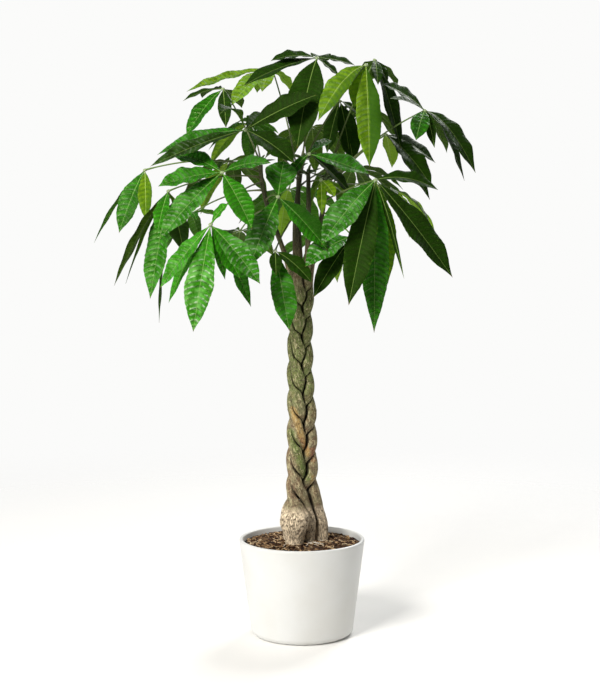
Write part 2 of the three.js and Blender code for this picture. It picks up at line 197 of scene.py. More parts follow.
class Bench:
    """The nodes of one material, or of the studio's surroundings."""

    def __init__(self, name: str, owner: Any = None) -> None:
        """Starts an empty material of that name, or clears what is given.

        Args:
            name: The material's name.
            owner: What is cleared and used in place of a new material.
        """
        self.owner = owner or bpy.data.materials.new(name)
        self.owner.use_nodes = True
        self.tree = self.owner.node_tree
        self.tree.nodes.clear()

    def node(self, kind: str, settings: dict | None = None, inputs: dict | None = None) -> bpy.types.Node:
        """Adds one node.

        Args:
            kind: The node's type.
            settings: Its own settings.
            inputs: Values or signals by socket name or number.

        Returns:
            The node.
        """
        made = self.tree.nodes.new(kind)
        for key, value in (settings or {}).items():
            setattr(made, key, value)
        for key, value in (inputs or {}).items():
            if isinstance(value, Signal):
                self.tree.links.new(value.socket, made.inputs[key])
            else:
                made.inputs[key].default_value = value
        return made

    def signal(self, kind: str, settings: dict | None = None, inputs: dict | None = None,
               output: int | str = 0) -> Signal:
        """Adds one node and returns one of its outputs as a signal."""
        return Signal(self, self.node(kind, settings, inputs).outputs[output])

    def marked(self, name: str, output: str = "Fac") -> Signal:
        """Returns a value that the mesh carries at its points."""
        return self.signal("ShaderNodeAttribute", {"attribute_name": name}, output=output)

    def place(self) -> Signal:
        """Returns the point on the object, in metres."""
        return self.signal("ShaderNodeTexCoord", output="Object")

    def stretched(self, vector: Signal, scale: tuple[float, float, float]) -> Signal:
        """Returns a vector with each part scaled."""
        return self.signal("ShaderNodeVectorMath", {"operation": "MULTIPLY"}, {0: vector, 1: scale})

    def grain(self, vector: Signal, scale: float, detail: float = 3.0, rough: float = 0.5) -> Signal:
        """Returns a noise from 0 to 1 over a vector."""
        inputs = {"Vector": vector, "Scale": scale, "Detail": detail, "Roughness": rough}
        return self.signal("ShaderNodeTexNoise", None, inputs)

    def cells(self, vector: Signal, scale: float) -> Signal:
        """Returns the distance to the nearest edge of a net of cells."""
        return self.signal("ShaderNodeTexVoronoi", {"feature": "DISTANCE_TO_EDGE"},
                           {"Vector": vector, "Scale": scale})

    def mix(self, share: Any, low: Any, high: Any) -> Signal:
        """Returns a colour between two colours, each a signal or six hex digits."""
        low, high = (paint(c) if isinstance(c, str) else c for c in (low, high))
        settings = {"data_type": "RGBA"}
        return self.signal("ShaderNodeMix", settings, {0: share, 6: low, 7: high}, 2)

    def coats(self, colour: Any, *coats: tuple[Any, str]) -> Signal:
        """Lays colours over a colour.

        Args:
            colour: What they are laid over.
            coats: How much of each shows, and its six hex digits.

        Returns:
            The colour that is seen.
        """
        for share, code in coats:
            colour = self.mix(share, colour, code)
        return colour

    def bump(self, height: Signal, distance: float, strength: float = 1.0) -> Signal:
        """Returns a normal that shows a height in metres times distance."""
        inputs = {"Height": height, "Distance": distance, "Strength": strength}
        return self.signal("ShaderNodeBump", None, inputs)

    def close(self, shader: Signal, output: str = "ShaderNodeOutputMaterial") -> Any:
        """Links the shader to the output and returns what was made."""
        self.node(output, None, {"Surface": shader})
        return self.owner

    def skin(self, inputs: dict) -> Any:
        """Closes the material with the main shader alone, given its inputs by name."""
        return self.close(self.signal("ShaderNodeBsdfPrincipled", None, inputs))


@dataclass(frozen=True)
class Ceramic:
    """Smooth, white, half-matt glaze."""

    light: str = "d6d7d5"
    dull: str = "d1d1cd"
    speck: str = "cfc6b2"

    def make(self) -> bpy.types.Material:
        """Builds the material.

        Returns:
            The material.
        """
        bench = Bench("pot_glaze")
        cloud = bench.grain(bench.place(), 9, 4)
        fine = bench.grain(bench.place(), 520, 2)
        specks = bench.grain(bench.place(), 900, 1).rise(0.72, 0.8) * 0.25
        return bench.skin({
            "Base Color": bench.coats(self.light, (cloud.rise(0.35, 0.7), self.dull), (specks, self.speck)),
            "Roughness": 0.38 + cloud * 0.1 + fine * 0.05,
            "Normal": bench.bump(fine + cloud * 6, 0.0001, 0.5),
            "Coat Weight": 0.2,
            "Coat Roughness": 0.25,
        })


@dataclass(frozen=True)
class Compost:
    """Loose, damp, reddish brown soil, or one of the things that lie on it."""

    name: str
    dark: str
    mid: str
    light: str
    relief: float = 0.0012

    def make(self) -> bpy.types.Material:
        """Builds the material.

        Returns:
            The material.
        """
        bench = Bench(self.name)
        place = bench.place()
        coarse = bench.grain(place, 120, 5, 0.65)
        fibre = bench.grain(bench.stretched(place, (1, 0.25, 1)), 900, 3, 0.7)
        fresh = bench.marked("shade") * 0.8 + fibre.rise(0.55, 0.75) * 0.35
        return bench.skin({
            "Base Color": bench.coats(self.dark, (coarse.rise(0.35, 0.65), self.mid), (fresh, self.light)),
            "Roughness": 0.82 + coarse * 0.15,
            "Normal": bench.bump(coarse + fibre * 0.5, self.relief, 0.9),
            "Specular IOR Level": 0.2,
        })


@dataclass(frozen=True)
class Bark:
    """Skin of the strands: olive above, warm brown lower down, pale cork at the feet.

    The creases between strands are darkened with painted shade.
    """

    grey: str = "978e6c"
    brown: str = "7b634a"
    green: str = "667a38"
    tan: str = "bd9c5e"
    red: str = "9a6242"
    cork: str = "f4dfbe"
    crack: str = "33281a"
    young: str = "31381a"
    speck: str = "cbbf96"
    split: str = "5e4830"
    # The colour of the painted shade in the creases between strands.
    crease_shade: str = "221a10"

    def make(self) -> bpy.types.Material:
        """Builds the material.

        Returns:
            The material.
        """
        bench = Bench("strand_bark")
        strand = bench.marked("strand", "Vector")
        long = bench.grain(bench.stretched(strand, (1, 1, 0.10)), 520, 5, 0.65)
        fleck = bench.grain(bench.stretched(strand, (1, 1, 0.45)), 330, 4, 0.7)
        patch = bench.grain(strand, 75, 5, 0.7)
        edge = bench.grain(strand, 210, 5, 0.7)
        green, young, tan, red = (bench.marked(name) for name in ("green", "young", "tan", "red"))
        cork, scar, crease_shade = (bench.marked(name) for name in ("cork", "scar", "crease_shade"))
        fissure = 1 - bench.cells(bench.stretched(strand, (1, 1, 0.16)), 480).rise(0.0, 0.14)
        stroke = bench.grain(bench.stretched(strand, (1, 1, 0.2)), 760, 3, 0.6).rise(0.52, 0.6)
        split = (fissure * edge.rise(0.4, 0.6) * 0.6 + stroke * 0.6) * cork
        colour = bench.coats(
            self.brown,
            (patch.rise(0.4, 0.6), self.grey),
            (green * (0.35 + patch * 1.1), self.green),
            (young * 0.95, self.young),
            ((tan + edge - 0.5).rise(0.3, 0.75) * 0.85, self.tan),
            ((red + edge - 0.5).rise(0.3, 0.75) * 0.75, self.red),
            ((cork + edge * 0.7 - 0.35).rise(0.2, 0.8), self.cork),
            (long.rise(0.48, 0.66) * (0.6 - cork * 0.45), self.crack),
            (edge.rise(0.5, 0.62) * (0.7 - cork * 0.6), self.crack),
            (fleck.rise(0.54, 0.62) * (0.7 - cork * 0.4 - young * 0.6), self.speck),
            (split, self.split),
            (scar * 0.5, self.crack),
            # Painted shade: darker where the strand nears the crease beside another strand.
            ((crease_shade * (1.25 - cork * 0.35)).rise(0.1, 1.25) * 0.72, self.crease_shade))
        return bench.skin({
            "Base Color": colour,
            "Roughness": 0.6 + long * 0.25,
            "Normal": bench.bump(long + fleck * 0.8 - split * 2.2, 0.0015),
            "Specular IOR Level": 0.35,
        })


@dataclass(frozen=True)
class Foliage:
    """Skin of the leaflets of one tone: green with pale ribs, quilted between its side veins.

    Some leaflets carry painted highlight, a pale sheen with glints, and painted shade beside the side veins
    and over one half.
    """

    tone: Tone
    dark: str
    light: str
    vein: str
    glow: str
    under_dark: str
    under_light: str
    gloss: float = 0.2
    sheer: float = 0.14
    relief: float = 1.0
    shine: float = 0.3
    mottle: float = 0.6
    under: bool = False
    # The colours of the painted highlight: a pale sheen, then brighter glints.
    painted_sheen: str = "8ed070"
    painted_glint: str = "d2efc4"
    # The colour of the painted shade over one half of some leaflets.
    painted_half_shade: str = "184c02"
    worn: str = "6b4a2a"
    tint: str = "ccee9a"

    def back(self) -> "Foliage":
        """Returns the underside's skin, paler and duller, with its ribs raised."""
        return replace(self, dark=self.under_dark, light=self.under_light, gloss=0.55, shine=0.2,
                       mottle=0.5, under=True)

    def make(self) -> bpy.types.Material:
        """Builds the material.

        Returns:
            The material.
        """
        bench = Bench(f"{self.tone.value}_{'back' if self.under else 'top'}")
        place = bench.place()
        along, vein, shade, pale = (bench.marked(name) for name in ("along", "vein", "shade", "pale"))
        across = bench.marked("across").size()
        cloud = bench.grain(place, 38, 3)
        patch = bench.grain(place, 110, 4, 0.6)
        wander = bench.grain(place, 60, 2).rise(0.3, 0.65)
        crest = ((vein.part() - 0.5) * 2).size()
        rib = 1 - (across / (1.25 - along * 0.8)).rise(0.3, 1.0)
        side_rib = crest.rise(0.88, 1.0)
        mesh = 1 - bench.cells(place, 430).rise(0.0, 0.14)
        clouds = cloud.rise(0.3, 0.7) * 0.5 + patch.rise(0.4, 0.62) * 0.5
        # Where the painted glints lie: pale lines beside the side veins, broken into patches.
        painted_glint = (1 - ((vein + patch * 0.7).part() - 0.35).size().rise(0.0, 0.26)) * patch.rise(0.44, 0.6)
        colour = bench.coats(
            self.dark,
            # Lighter by the shade mark, which is partly painted light.
            (shade * 0.6 + clouds * self.mottle * (1.2 - crest), self.light),
            # Painted highlight: a pale sheen in soft patches, then glints.
            (pale * cloud.rise(0.42, 0.62) * 0.3, self.painted_sheen),
            (pale * painted_glint * 0.62, self.painted_glint),
            # Painted shade: darker beside the side veins, where the blade dips, more so on leaflets with
            # painted highlight.
            ((pale * 0.6 + 0.4) * crest.rise(0.6, 0.95) * wander * 0.7, self.dark),
            # Painted shade over one half of some leaflets.
            ((bench.marked("painted_half_shade") + patch - 0.5).rise(0.25, 0.75) * 0.9, self.painted_half_shade),
            (mesh * 0.08, self.vein),
            (side_rib * (0.5 if self.under else 0.05), self.vein),
            (rib * 0.85, self.vein),
            (along.rise(0.965, 1.0) * cloud.rise(0.42, 0.5), self.worn))
        sign = -1.0 if self.under else 1.0
        quilt = (1 - crest.rise(0.1, 1.0)) * sign + mesh * (-0.22 * sign) + rib * (0.8 * -sign)
        skin = bench.signal("ShaderNodeBsdfPrincipled", None, {
            "Base Color": colour,
            "Roughness": self.gloss + cloud * 0.12 + mesh * 0.05,
            "Normal": bench.bump(quilt, 0.0011, self.relief),
            "Specular IOR Level": self.shine,
            "Specular Tint": paint(self.tint),
        })
        through = bench.signal("ShaderNodeBsdfTranslucent", None, {"Color": paint(self.glow)})
        share = self.sheer * (1 - side_rib * 0.4 - rib * 0.5)
        return bench.close(bench.signal("ShaderNodeMixShader", None, {0: share, 1: skin, 2: through}))


GREENS = (
    Foliage(Tone.DEEP, "0a2000", "1d4402", "7c984a", "4c8408", "2a4a0a", "4a6a14", 0.45, 0.1, 0.45, 0.1),
    Foliage(Tone.GREEN, "0c3600", "339602", "8cb860", "58a408", "2a640a", "548a20"),
    Foliage(Tone.LIME, "244e02", "86aa14", "b4d06c", "9ad010", "6f9420", "a2bd40", 0.3, 0.36, mottle=1.0),
)


@dataclass(frozen=True)
class Stalk:
    """Smooth skin of the leaf stalks, greener toward the leaf."""

    base: str = "4d4f26"
    end: str = "5d7f2c"
    pale: str = "cfd6b8"
    dull: str = "3b3018"

    def make(self) -> bpy.types.Material:
        """Builds the material.

        Returns:
            The material.
        """
        bench = Bench("stalk_skin")
        cloud = bench.grain(bench.stretched(bench.place(), (1, 1, 0.3)), 300, 3)
        return bench.skin({
            "Base Color": bench.coats(self.base, (bench.marked("along"), self.end),
                                      (bench.marked("pale"), self.pale),
                                      (cloud.rise(0.5, 0.7) * 0.5, self.dull)),
            "Roughness": 0.4 + cloud * 0.2,
            "Normal": bench.bump(cloud, 0.0004, 0.6),
        })


# Meshes.


def band(rows: int, sides: int) -> list[tuple[int, ...]]:
    """Makes the faces between rings of points.

    Args:
        rows: How many rings there are.
        sides: How many points each has.

    Returns:
        The faces, with the points counted ring by ring.
    """
    faces = []
    for row in range(rows - 1):
        for side in range(sides):
            near, far = row * sides, (row + 1) * sides
            after = (side + 1) % sides
            faces.append((near + side, near + after, far + after, far + side))
    return faces


@dataclass
class Mould:
    """Collects the points and faces of one piece, in millimetres, with a few values at each point."""

    marks: tuple[str, ...] = ()
    points: list = field(default_factory=list)
    faces: list = field(default_factory=list)
    skins: list = field(default_factory=list)
    values: dict = field(default_factory=dict)
    vectors: dict = field(default_factory=dict)
    count: int = 0

    def add(self, points: np.ndarray, faces: Sequence[Sequence[int]], skin: int = 0, **marks: Any) -> None:
        """Adds one patch.

        Args:
            points: Its points, one row each.
            faces: Its faces, counted from its own first point.
            skin: The number of its material.
            marks: Values at its points, an array or one number each.
        """
        base = self.count
        self.points.append(np.asarray(points, float))
        self.faces.extend([tuple(base + i for i in face) for face in faces])
        self.skins.extend([skin] * len(faces))
        for name in self.marks:
            value = marks.get(name, 0.0)
            self.values.setdefault(name, []).append(np.zeros(len(points)) + value)
        self.count += len(points)

    def tube(self, rings: np.ndarray, skin: int = 0, **marks: Any) -> None:
        """Adds a closed tube through rings of points, with both its ends capped.

        Args:
            rings: Points by ring and by place in the ring.
            skin: The number of its material.
            marks: Values by ring and place, or one number each.
        """
        rows, sides = rings.shape[:2]
        faces = band(rows, sides)
        faces.append(tuple(reversed(range(sides))))
        faces.append(tuple(range((rows - 1) * sides, rows * sides)))
        flat = {k: v.reshape(-1) if isinstance(v, np.ndarray) else v for k, v in marks.items()}
        self.add(rings.reshape(-1, 3), faces, skin, **flat)

    def cast(self, name: str, materials: Sequence[bpy.types.Material]) -> bpy.types.Object:
        """Makes the object.

        Args:
            name: The piece's name.
            materials: Its materials, in the order of their numbers.

        Returns:
            The object, in metres.
        """
        mesh = bpy.data.meshes.new(name)
        points = np.vstack(self.points) * MM
        mesh.from_pydata(points.tolist(), [], self.faces)
        for material in materials:
            mesh.materials.append(material)
        mesh.polygons.foreach_set("material_index", np.array(self.skins, np.int32))
        mesh.polygons.foreach_set("use_smooth", np.ones(len(self.faces), bool))
        for key, parts in self.values.items():
            marked = mesh.attributes.new(key, "FLOAT", "POINT")
            marked.data.foreach_set("value", np.concatenate(parts).astype(np.float32))
        for key, rows in self.vectors.items():
            marked = mesh.attributes.new(key, "FLOAT_VECTOR", "POINT")
            marked.data.foreach_set("vector", rows.astype(np.float32).ravel())
        mesh.update()
        piece = bpy.data.objects.new(name, mesh)
        bpy.context.collection.objects.link(piece)
        return piece


def settle(piece: bpy.types.Object, slot: str, *nodes: str) -> None:
    """Seats a finished piece on the frame.

    Args:
        piece: The piece.
        slot: Not used.
        nodes: The plain solids that it stands for.
    """
    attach(piece, ROOT)
    if nodes:
        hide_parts(*nodes)
    LOG.info("%s: %d faces, stands for %s", piece.name, len(piece.data.polygons), ", ".join(nodes) or "none")


def ring_round(centre: np.ndarray, along: np.ndarray, radius: Any, sides: int,
               first: np.ndarray | None = None) -> np.ndarray:
    """Finds points on a circle that is square to a direction.

    Args:
        centre: Its middle.
        along: The direction, at length 1.
        radius: Its radius, or a column with one for each point.
        sides: How many points it has.
        first: The way from the middle to the first point, or None for any.

    Returns:
        The points, one row each.
    """
    if first is None:
        first = unit(np.cross(along, (0.31, 0.17, 0.93) if abs(along[2]) < 0.9 else (1.0, 0.0, 0.0)))
    flat = circle(sides)
    return centre + radius * (np.outer(flat[:, 0], first) + np.outer(flat[:, 1], np.cross(along, first)))


def curve_rings(path: np.ndarray, radii: np.ndarray, sides: int) -> np.ndarray:
    """Returns circles of given radii along a path of points."""
    tangents = np.gradient(path, axis=0)
    return np.array([ring_round(p, unit(t), r, sides) for p, t, r in zip(path, tangents, radii)])


@dataclass
class Planter:
    """The round, slightly flared planter."""

    height: float = 197
    rim: float = 127.5
    base: float = 103
    rounding: float = 14
    wall: float = 7.5
    floor: float = 10
    sides: int = 160
    edge_steps: int = 8
    lip_steps: int = 10

    def outer(self, z: float) -> float:
        """Returns the outside radius at a height."""
        return blend(self.base, self.rim, z / self.height)

    def inner(self, z: float) -> float:
        """Returns the inside radius at a height."""
        return self.outer(z) - self.wall

    def profile(self) -> list[tuple[float, float]]:
        """Draws the wall's outline, from the middle of the underside to that of the floor.

        Returns:
            Its points, each a radius and a height.
        """
        edge = self.outer(self.rounding) - self.rounding
        line = [(4.0, 0.0), (edge * 0.5, 0.0), (edge * 0.9, 0.0)]
        for i in range(self.edge_steps + 1):
            angle = i / self.edge_steps * math.pi / 2
            line.append((edge + self.rounding * math.sin(angle), self.rounding * (1 - math.cos(angle))))
        line += [(self.outer(z), z) for z in (30, 60, 90, 120, 150, 175, 188)]
        lip = self.wall / 2
        middle = self.outer(self.height - lip) - lip
        for i in range(self.lip_steps + 1):
            angle = i / self.lip_steps * math.pi
            line.append((middle + lip * math.cos(angle), self.height - lip + lip * math.sin(angle)))
        line += [(self.inner(z), z) for z in (188, 150, 100, 60, 24)]
        line += [(self.inner(self.floor) - 4, self.floor + 6), (self.inner(self.floor) - 10, self.floor)]
        line += [(40.0, self.floor), (4.0, self.floor)]
        return line

    def build(self) -> Mould:
        """Turns the outline about the upright axis."""
        mould = Mould()
        mould.tube(np.array([level_ring(radius, z, self.sides) for radius, z in self.profile()]))
        return mould

    def dress(self) -> None:
        """Builds the planter and seats it."""
        settle(self.build().cast("planter", [Ceramic().make()]), "ceramic", "pot")


@dataclass
class Plait:
    """The five strands of the trunk, as places and thicknesses by height.

    Each foot has its x, its y, its radius in the soil and its swelling; each tip has its x, its y, its
    height and how far its shoot sways to the right on the way up.
    """

    count: int = 5
    radius: float = 11.5
    pitch: float = 285
    start: float = 451
    turn: float = math.radians(24)
    depth: float = 13
    top_width: float = 11.5
    wide: float = 300
    foot_width: float = 20
    narrow: float = 640
    sway: float = -4
    square: float = 0.05
    top: float = 690
    foot: float = 325
    foot_level: float = 208
    shoot_radius: float = 4.2
    bottom: float = 150
    sides: int = 44
    step: float = 2.6
    shoot_step: float = 5
    bulge: float = 0.24
    soft: float = 1.1
    groove: float = 0.2
    swell_start: float = 192
    swell_end: float = 290
    feet: tuple = ((40, 16, 13, 3), (-24, 12, 14, 7), (-15, -21, 19, 15), (15, -1, 11, 6), (2, 31, 15, 5))
    tips: tuple = (
        (2, -10, 968, -12), (-6, 12, 946, -4), (46, 34, 930, 4), (12, -16, 940, 2), (-82, 14, 962, -6),
    )

    def woven(self, index: int, z: float) -> np.ndarray:
        """Finds where a strand's middle lies within the plait.

        Args:
            index: The strand.
            z: The height.

        Returns:
            The place in plan.
        """
        angle = 2 * math.pi * ((self.start - z) / self.pitch + index / self.count)
        width = blend(self.foot_width, self.top_width, ease(z, self.wide, self.narrow))
        x = -width * (math.cos(angle) - self.square * math.cos(3 * angle)) / (1 - self.square)
        y = -self.depth * math.sin(2 * angle)
        cos, sin = math.cos(self.turn), math.sin(self.turn)
        sway = self.sway * between(z, 430, 560, 640, 720)
        return np.array((cos * x - sin * y + sway, sin * x + cos * y))

    def middle(self, index: int, z: float) -> np.ndarray:
        """Finds where a strand's middle lies at any height.

        Args:
            index: The strand.
            z: The height.

        Returns:
            The place in plan.
        """
        foot, tip = self.feet[index], self.tips[index]
        place = self.woven(index, min(max(z, 250), self.top + 20))
        place = blend(place, np.array(foot[:2], float), 1 - ease(z, self.foot_level, self.foot))
        place = blend(place, np.array(tip[:2], float), ease(z, self.top, tip[2]))
        place[0] += tip[3] * math.sin(progress(z, self.top, tip[2]) * math.pi)
        return place

    def thickness(self, index: int, z: float) -> float:
        """Finds a strand's own radius at a height.

        Args:
            index: The strand.
            z: The height.

        Returns:
            The radius.
        """
        foot, tip = self.feet[index], self.tips[index]
        if z < self.foot:
            rise = progress(z, self.swell_start, self.swell_end)
            bulb = foot[3] * math.sin(rise * math.pi) ** 2
            return blend(foot[2], self.radius, ease(z, self.swell_start, self.swell_end)) + bulb
        thin = blend(self.radius, self.shoot_radius + 1, ease(z, self.top - 20, self.top + 110))
        return blend(thin, self.shoot_radius, ease(z, self.top + 110, tip[2]))

    def heights(self, index: int) -> np.ndarray:
        """Chooses the heights of a strand's rings, close together in the plait.

        Args:
            index: The strand.

        Returns:
            The heights, from the lowest up.
        """
        tip = self.tips[index][2]
        plait = np.arange(self.bottom + 26, 745, self.step)
        shoot = np.arange(748, tip - 6, self.shoot_step)
        return np.concatenate([[self.bottom, 165], plait, shoot, [tip - 4, tip - 1.5, tip]])

    def reach(self, index: int, z: float, directions: np.ndarray) -> tuple[np.ndarray, np.ndarray]:
        """Finds how far a strand's skin lies from its middle, pressed flat where it meets another.

        Args:
            index: The strand.
            z: The height.
            directions: Unit directions in plan, one row each.

        Returns:
            The distance in each direction, and how near the crease beside another strand is, which the
            bark darkens as painted shade.
        """
        here = self.middle(index, z)
        own = self.thickness(index, z)
        outward = directions @ unit(here) if np.linalg.norm(here) > 1 else np.zeros(len(directions))
        press = between(z, 215, 300, 700, 760)
        full = own * (1 + self.bulge * press * np.clip(0.75 - outward, 0, 1))
        total = np.exp(-full / self.soft)
        room = np.full(len(directions), 99.0)
        for other in range(self.count):
            if other == index or z > self.tips[other][2]:
                continue
            away = self.middle(other, z) - here
            distance = float(np.linalg.norm(away))
            share = distance * own / (own + self.thickness(other, z))
            lean = directions @ away / distance
            wall = np.where(lean > 0.05, share / np.clip(lean, 0.05, 1), 99.0)
            total = total + np.exp(-wall / self.soft)
            room = np.minimum(room, wall - full)
        room = np.maximum(room, 0)
        reach = -self.soft * np.log(total) * (1 - self.groove * np.exp(-room / 4.5))
        return reach, np.exp(-room / 2.4)


@dataclass
class Trunk:
    """Dresses the strands of a plait in bark.

    Each patch of colour runs along a line on the front, and has the colour's name, the line's ends as x
    and height, its size and its strength.
    """

    plait: Plait
    scar_step: float = 27
    stagger: float = 9
    closing: tuple = (0.9, 0.65, 0.25)
    marks: tuple = ("green", "young", "tan", "red", "cork", "scar", "crease_shade")
    patches: tuple = (
        ("tan", (-18, 462), (12, 372), 9, 0.85), ("red", (-2, 404), (8, 384), 9, 0.6),
        ("green", (-22, 414), (10, 324), 10, 1.0), ("red", (22, 380), (24, 360), 10, 0.7),
        ("tan", (24, 366), (22, 352), 7, 0.5), ("tan", (22, 326), (20, 310), 7, 0.6),
    )

    def relief(self, index: int, angle: float, z: float, foot: float) -> tuple[float, float]:
        """Finds the height of the bark at one point.

        Args:
            index: The strand.
            angle: The direction from the strand's middle.
            z: The height.
            foot: How much the point belongs to the swollen foot, from 0 to 1.

        Returns:
            The relief in millimetres, and how much of a leaf scar is there.
        """
        spot = Vector((math.cos(angle) * 2.1, math.sin(angle) * 2.1, z * 0.02 + index * 7.3))
        relief = 0.6 * noise.noise(spot) + 0.4 * noise.noise(spot * 3.1)
        relief += 0.22 * math.sin(angle * 7 + 2 * noise.noise(spot) + index)
        nearest = round((z + index * self.stagger) / self.scar_step)
        centre = nearest * self.scar_step - index * self.stagger
        side = draw(nearest * 3.7 + index * 11) * 2 * math.pi
        away = (angle - side + math.pi) % (2 * math.pi) - math.pi
        scar = math.exp(-(away / 0.62) ** 2 - ((z - centre - 1.5 * away * away) / 1.9) ** 2) * (1 - foot)
        crack = abs(noise.noise(Vector((math.cos(angle) * 4.6, math.sin(angle) * 4.6, z * 0.03 + index))))
        relief -= foot * 1.1 * max(0.0, 0.22 - crack) / 0.22
        return relief + 0.75 * scar, scar

    def colours(self, x: float, y: float, z: float) -> dict[str, float]:
        """Finds how much of each bark colour shows at a point.

        Args:
            x: How far right it lies.
            y: How far back it lies.
            z: How high it lies.

        Returns:
            The share of each colour.
        """
        wander = 22 * noise.noise(Vector((x * 0.03, y * 0.03, z * 0.012)))
        found = {
            "green": 0.8 * ease(z + wander, 400, 540) * (1 - 0.9 * ease(z, 690, 730)),
            "young": ease(z, 735, 830),
            "tan": 0.0,
            "red": 0.0,
            "cork": 1 - ease(z + wander * 0.4, 246, 278),
        }
        front = 1 - ease(y, -4, 6)
        for name, start, end, size, strength in self.patches:
            a, b, p = np.array(start, float), np.array(end, float), np.array((x, z))
            t = progress((p - a) @ (b - a), 0, (b - a) @ (b - a))
            near = np.linalg.norm(p - blend(a, b, t))
            found[name] = max(found[name], strength * front * math.exp(-(near / size) ** 2))
        return found

    def build(self, index: int) -> Mould:
        """Builds one strand, from its end in the soil up to its tip.

        Args:
            index: The strand.

        Returns:
            Its mesh.
        """
        plait = self.plait
        mould = Mould(self.marks)
        directions = circle(plait.sides)
        angles = np.arange(plait.sides) * 2 * math.pi / plait.sides
        levels = plait.heights(index)
        rings, strand, values = [], [], {name: [] for name in self.marks}
        for row, z in enumerate(levels):
            middle = plait.middle(index, z)
            foot = 1 - ease(z, 240, 300)
            reach, crease_shade = plait.reach(index, z, directions)
            closing = row - len(levels) + len(self.closing)
            if closing >= 0:
                reach = reach * self.closing[closing]
            bulk = min(1.0, plait.thickness(index, z) / 10)
            for angle, direction, distance in zip(angles, directions, reach):
                relief, scar = self.relief(index, angle, z, foot)
                x, y = middle + direction * (distance + relief * bulk)
                rings.append((x, y, z))
                for name, value in self.colours(x, y, z).items():
                    values[name].append(value)
                values["scar"].append(scar)
                strand.append((math.cos(angle) * 0.012, math.sin(angle) * 0.012, z * MM + index))
            # How near the crease is, which the bark paints as shade.
            values["crease_shade"].extend(crease_shade)
        mould.vectors["strand"] = np.array(strand)
        mould.tube(np.array(rings).reshape(len(levels), plait.sides, 3),
                   **{name: np.array(value) for name, value in values.items()})
        return mould

    def dress(self) -> None:
        """Builds and seats all the strands."""
        skin = Bark().make()
        for index in range(self.plait.count):
            settle(self.build(index).cast(f"strand_{index + 1}", [skin]), "bark", f"stem_{index + 1}")


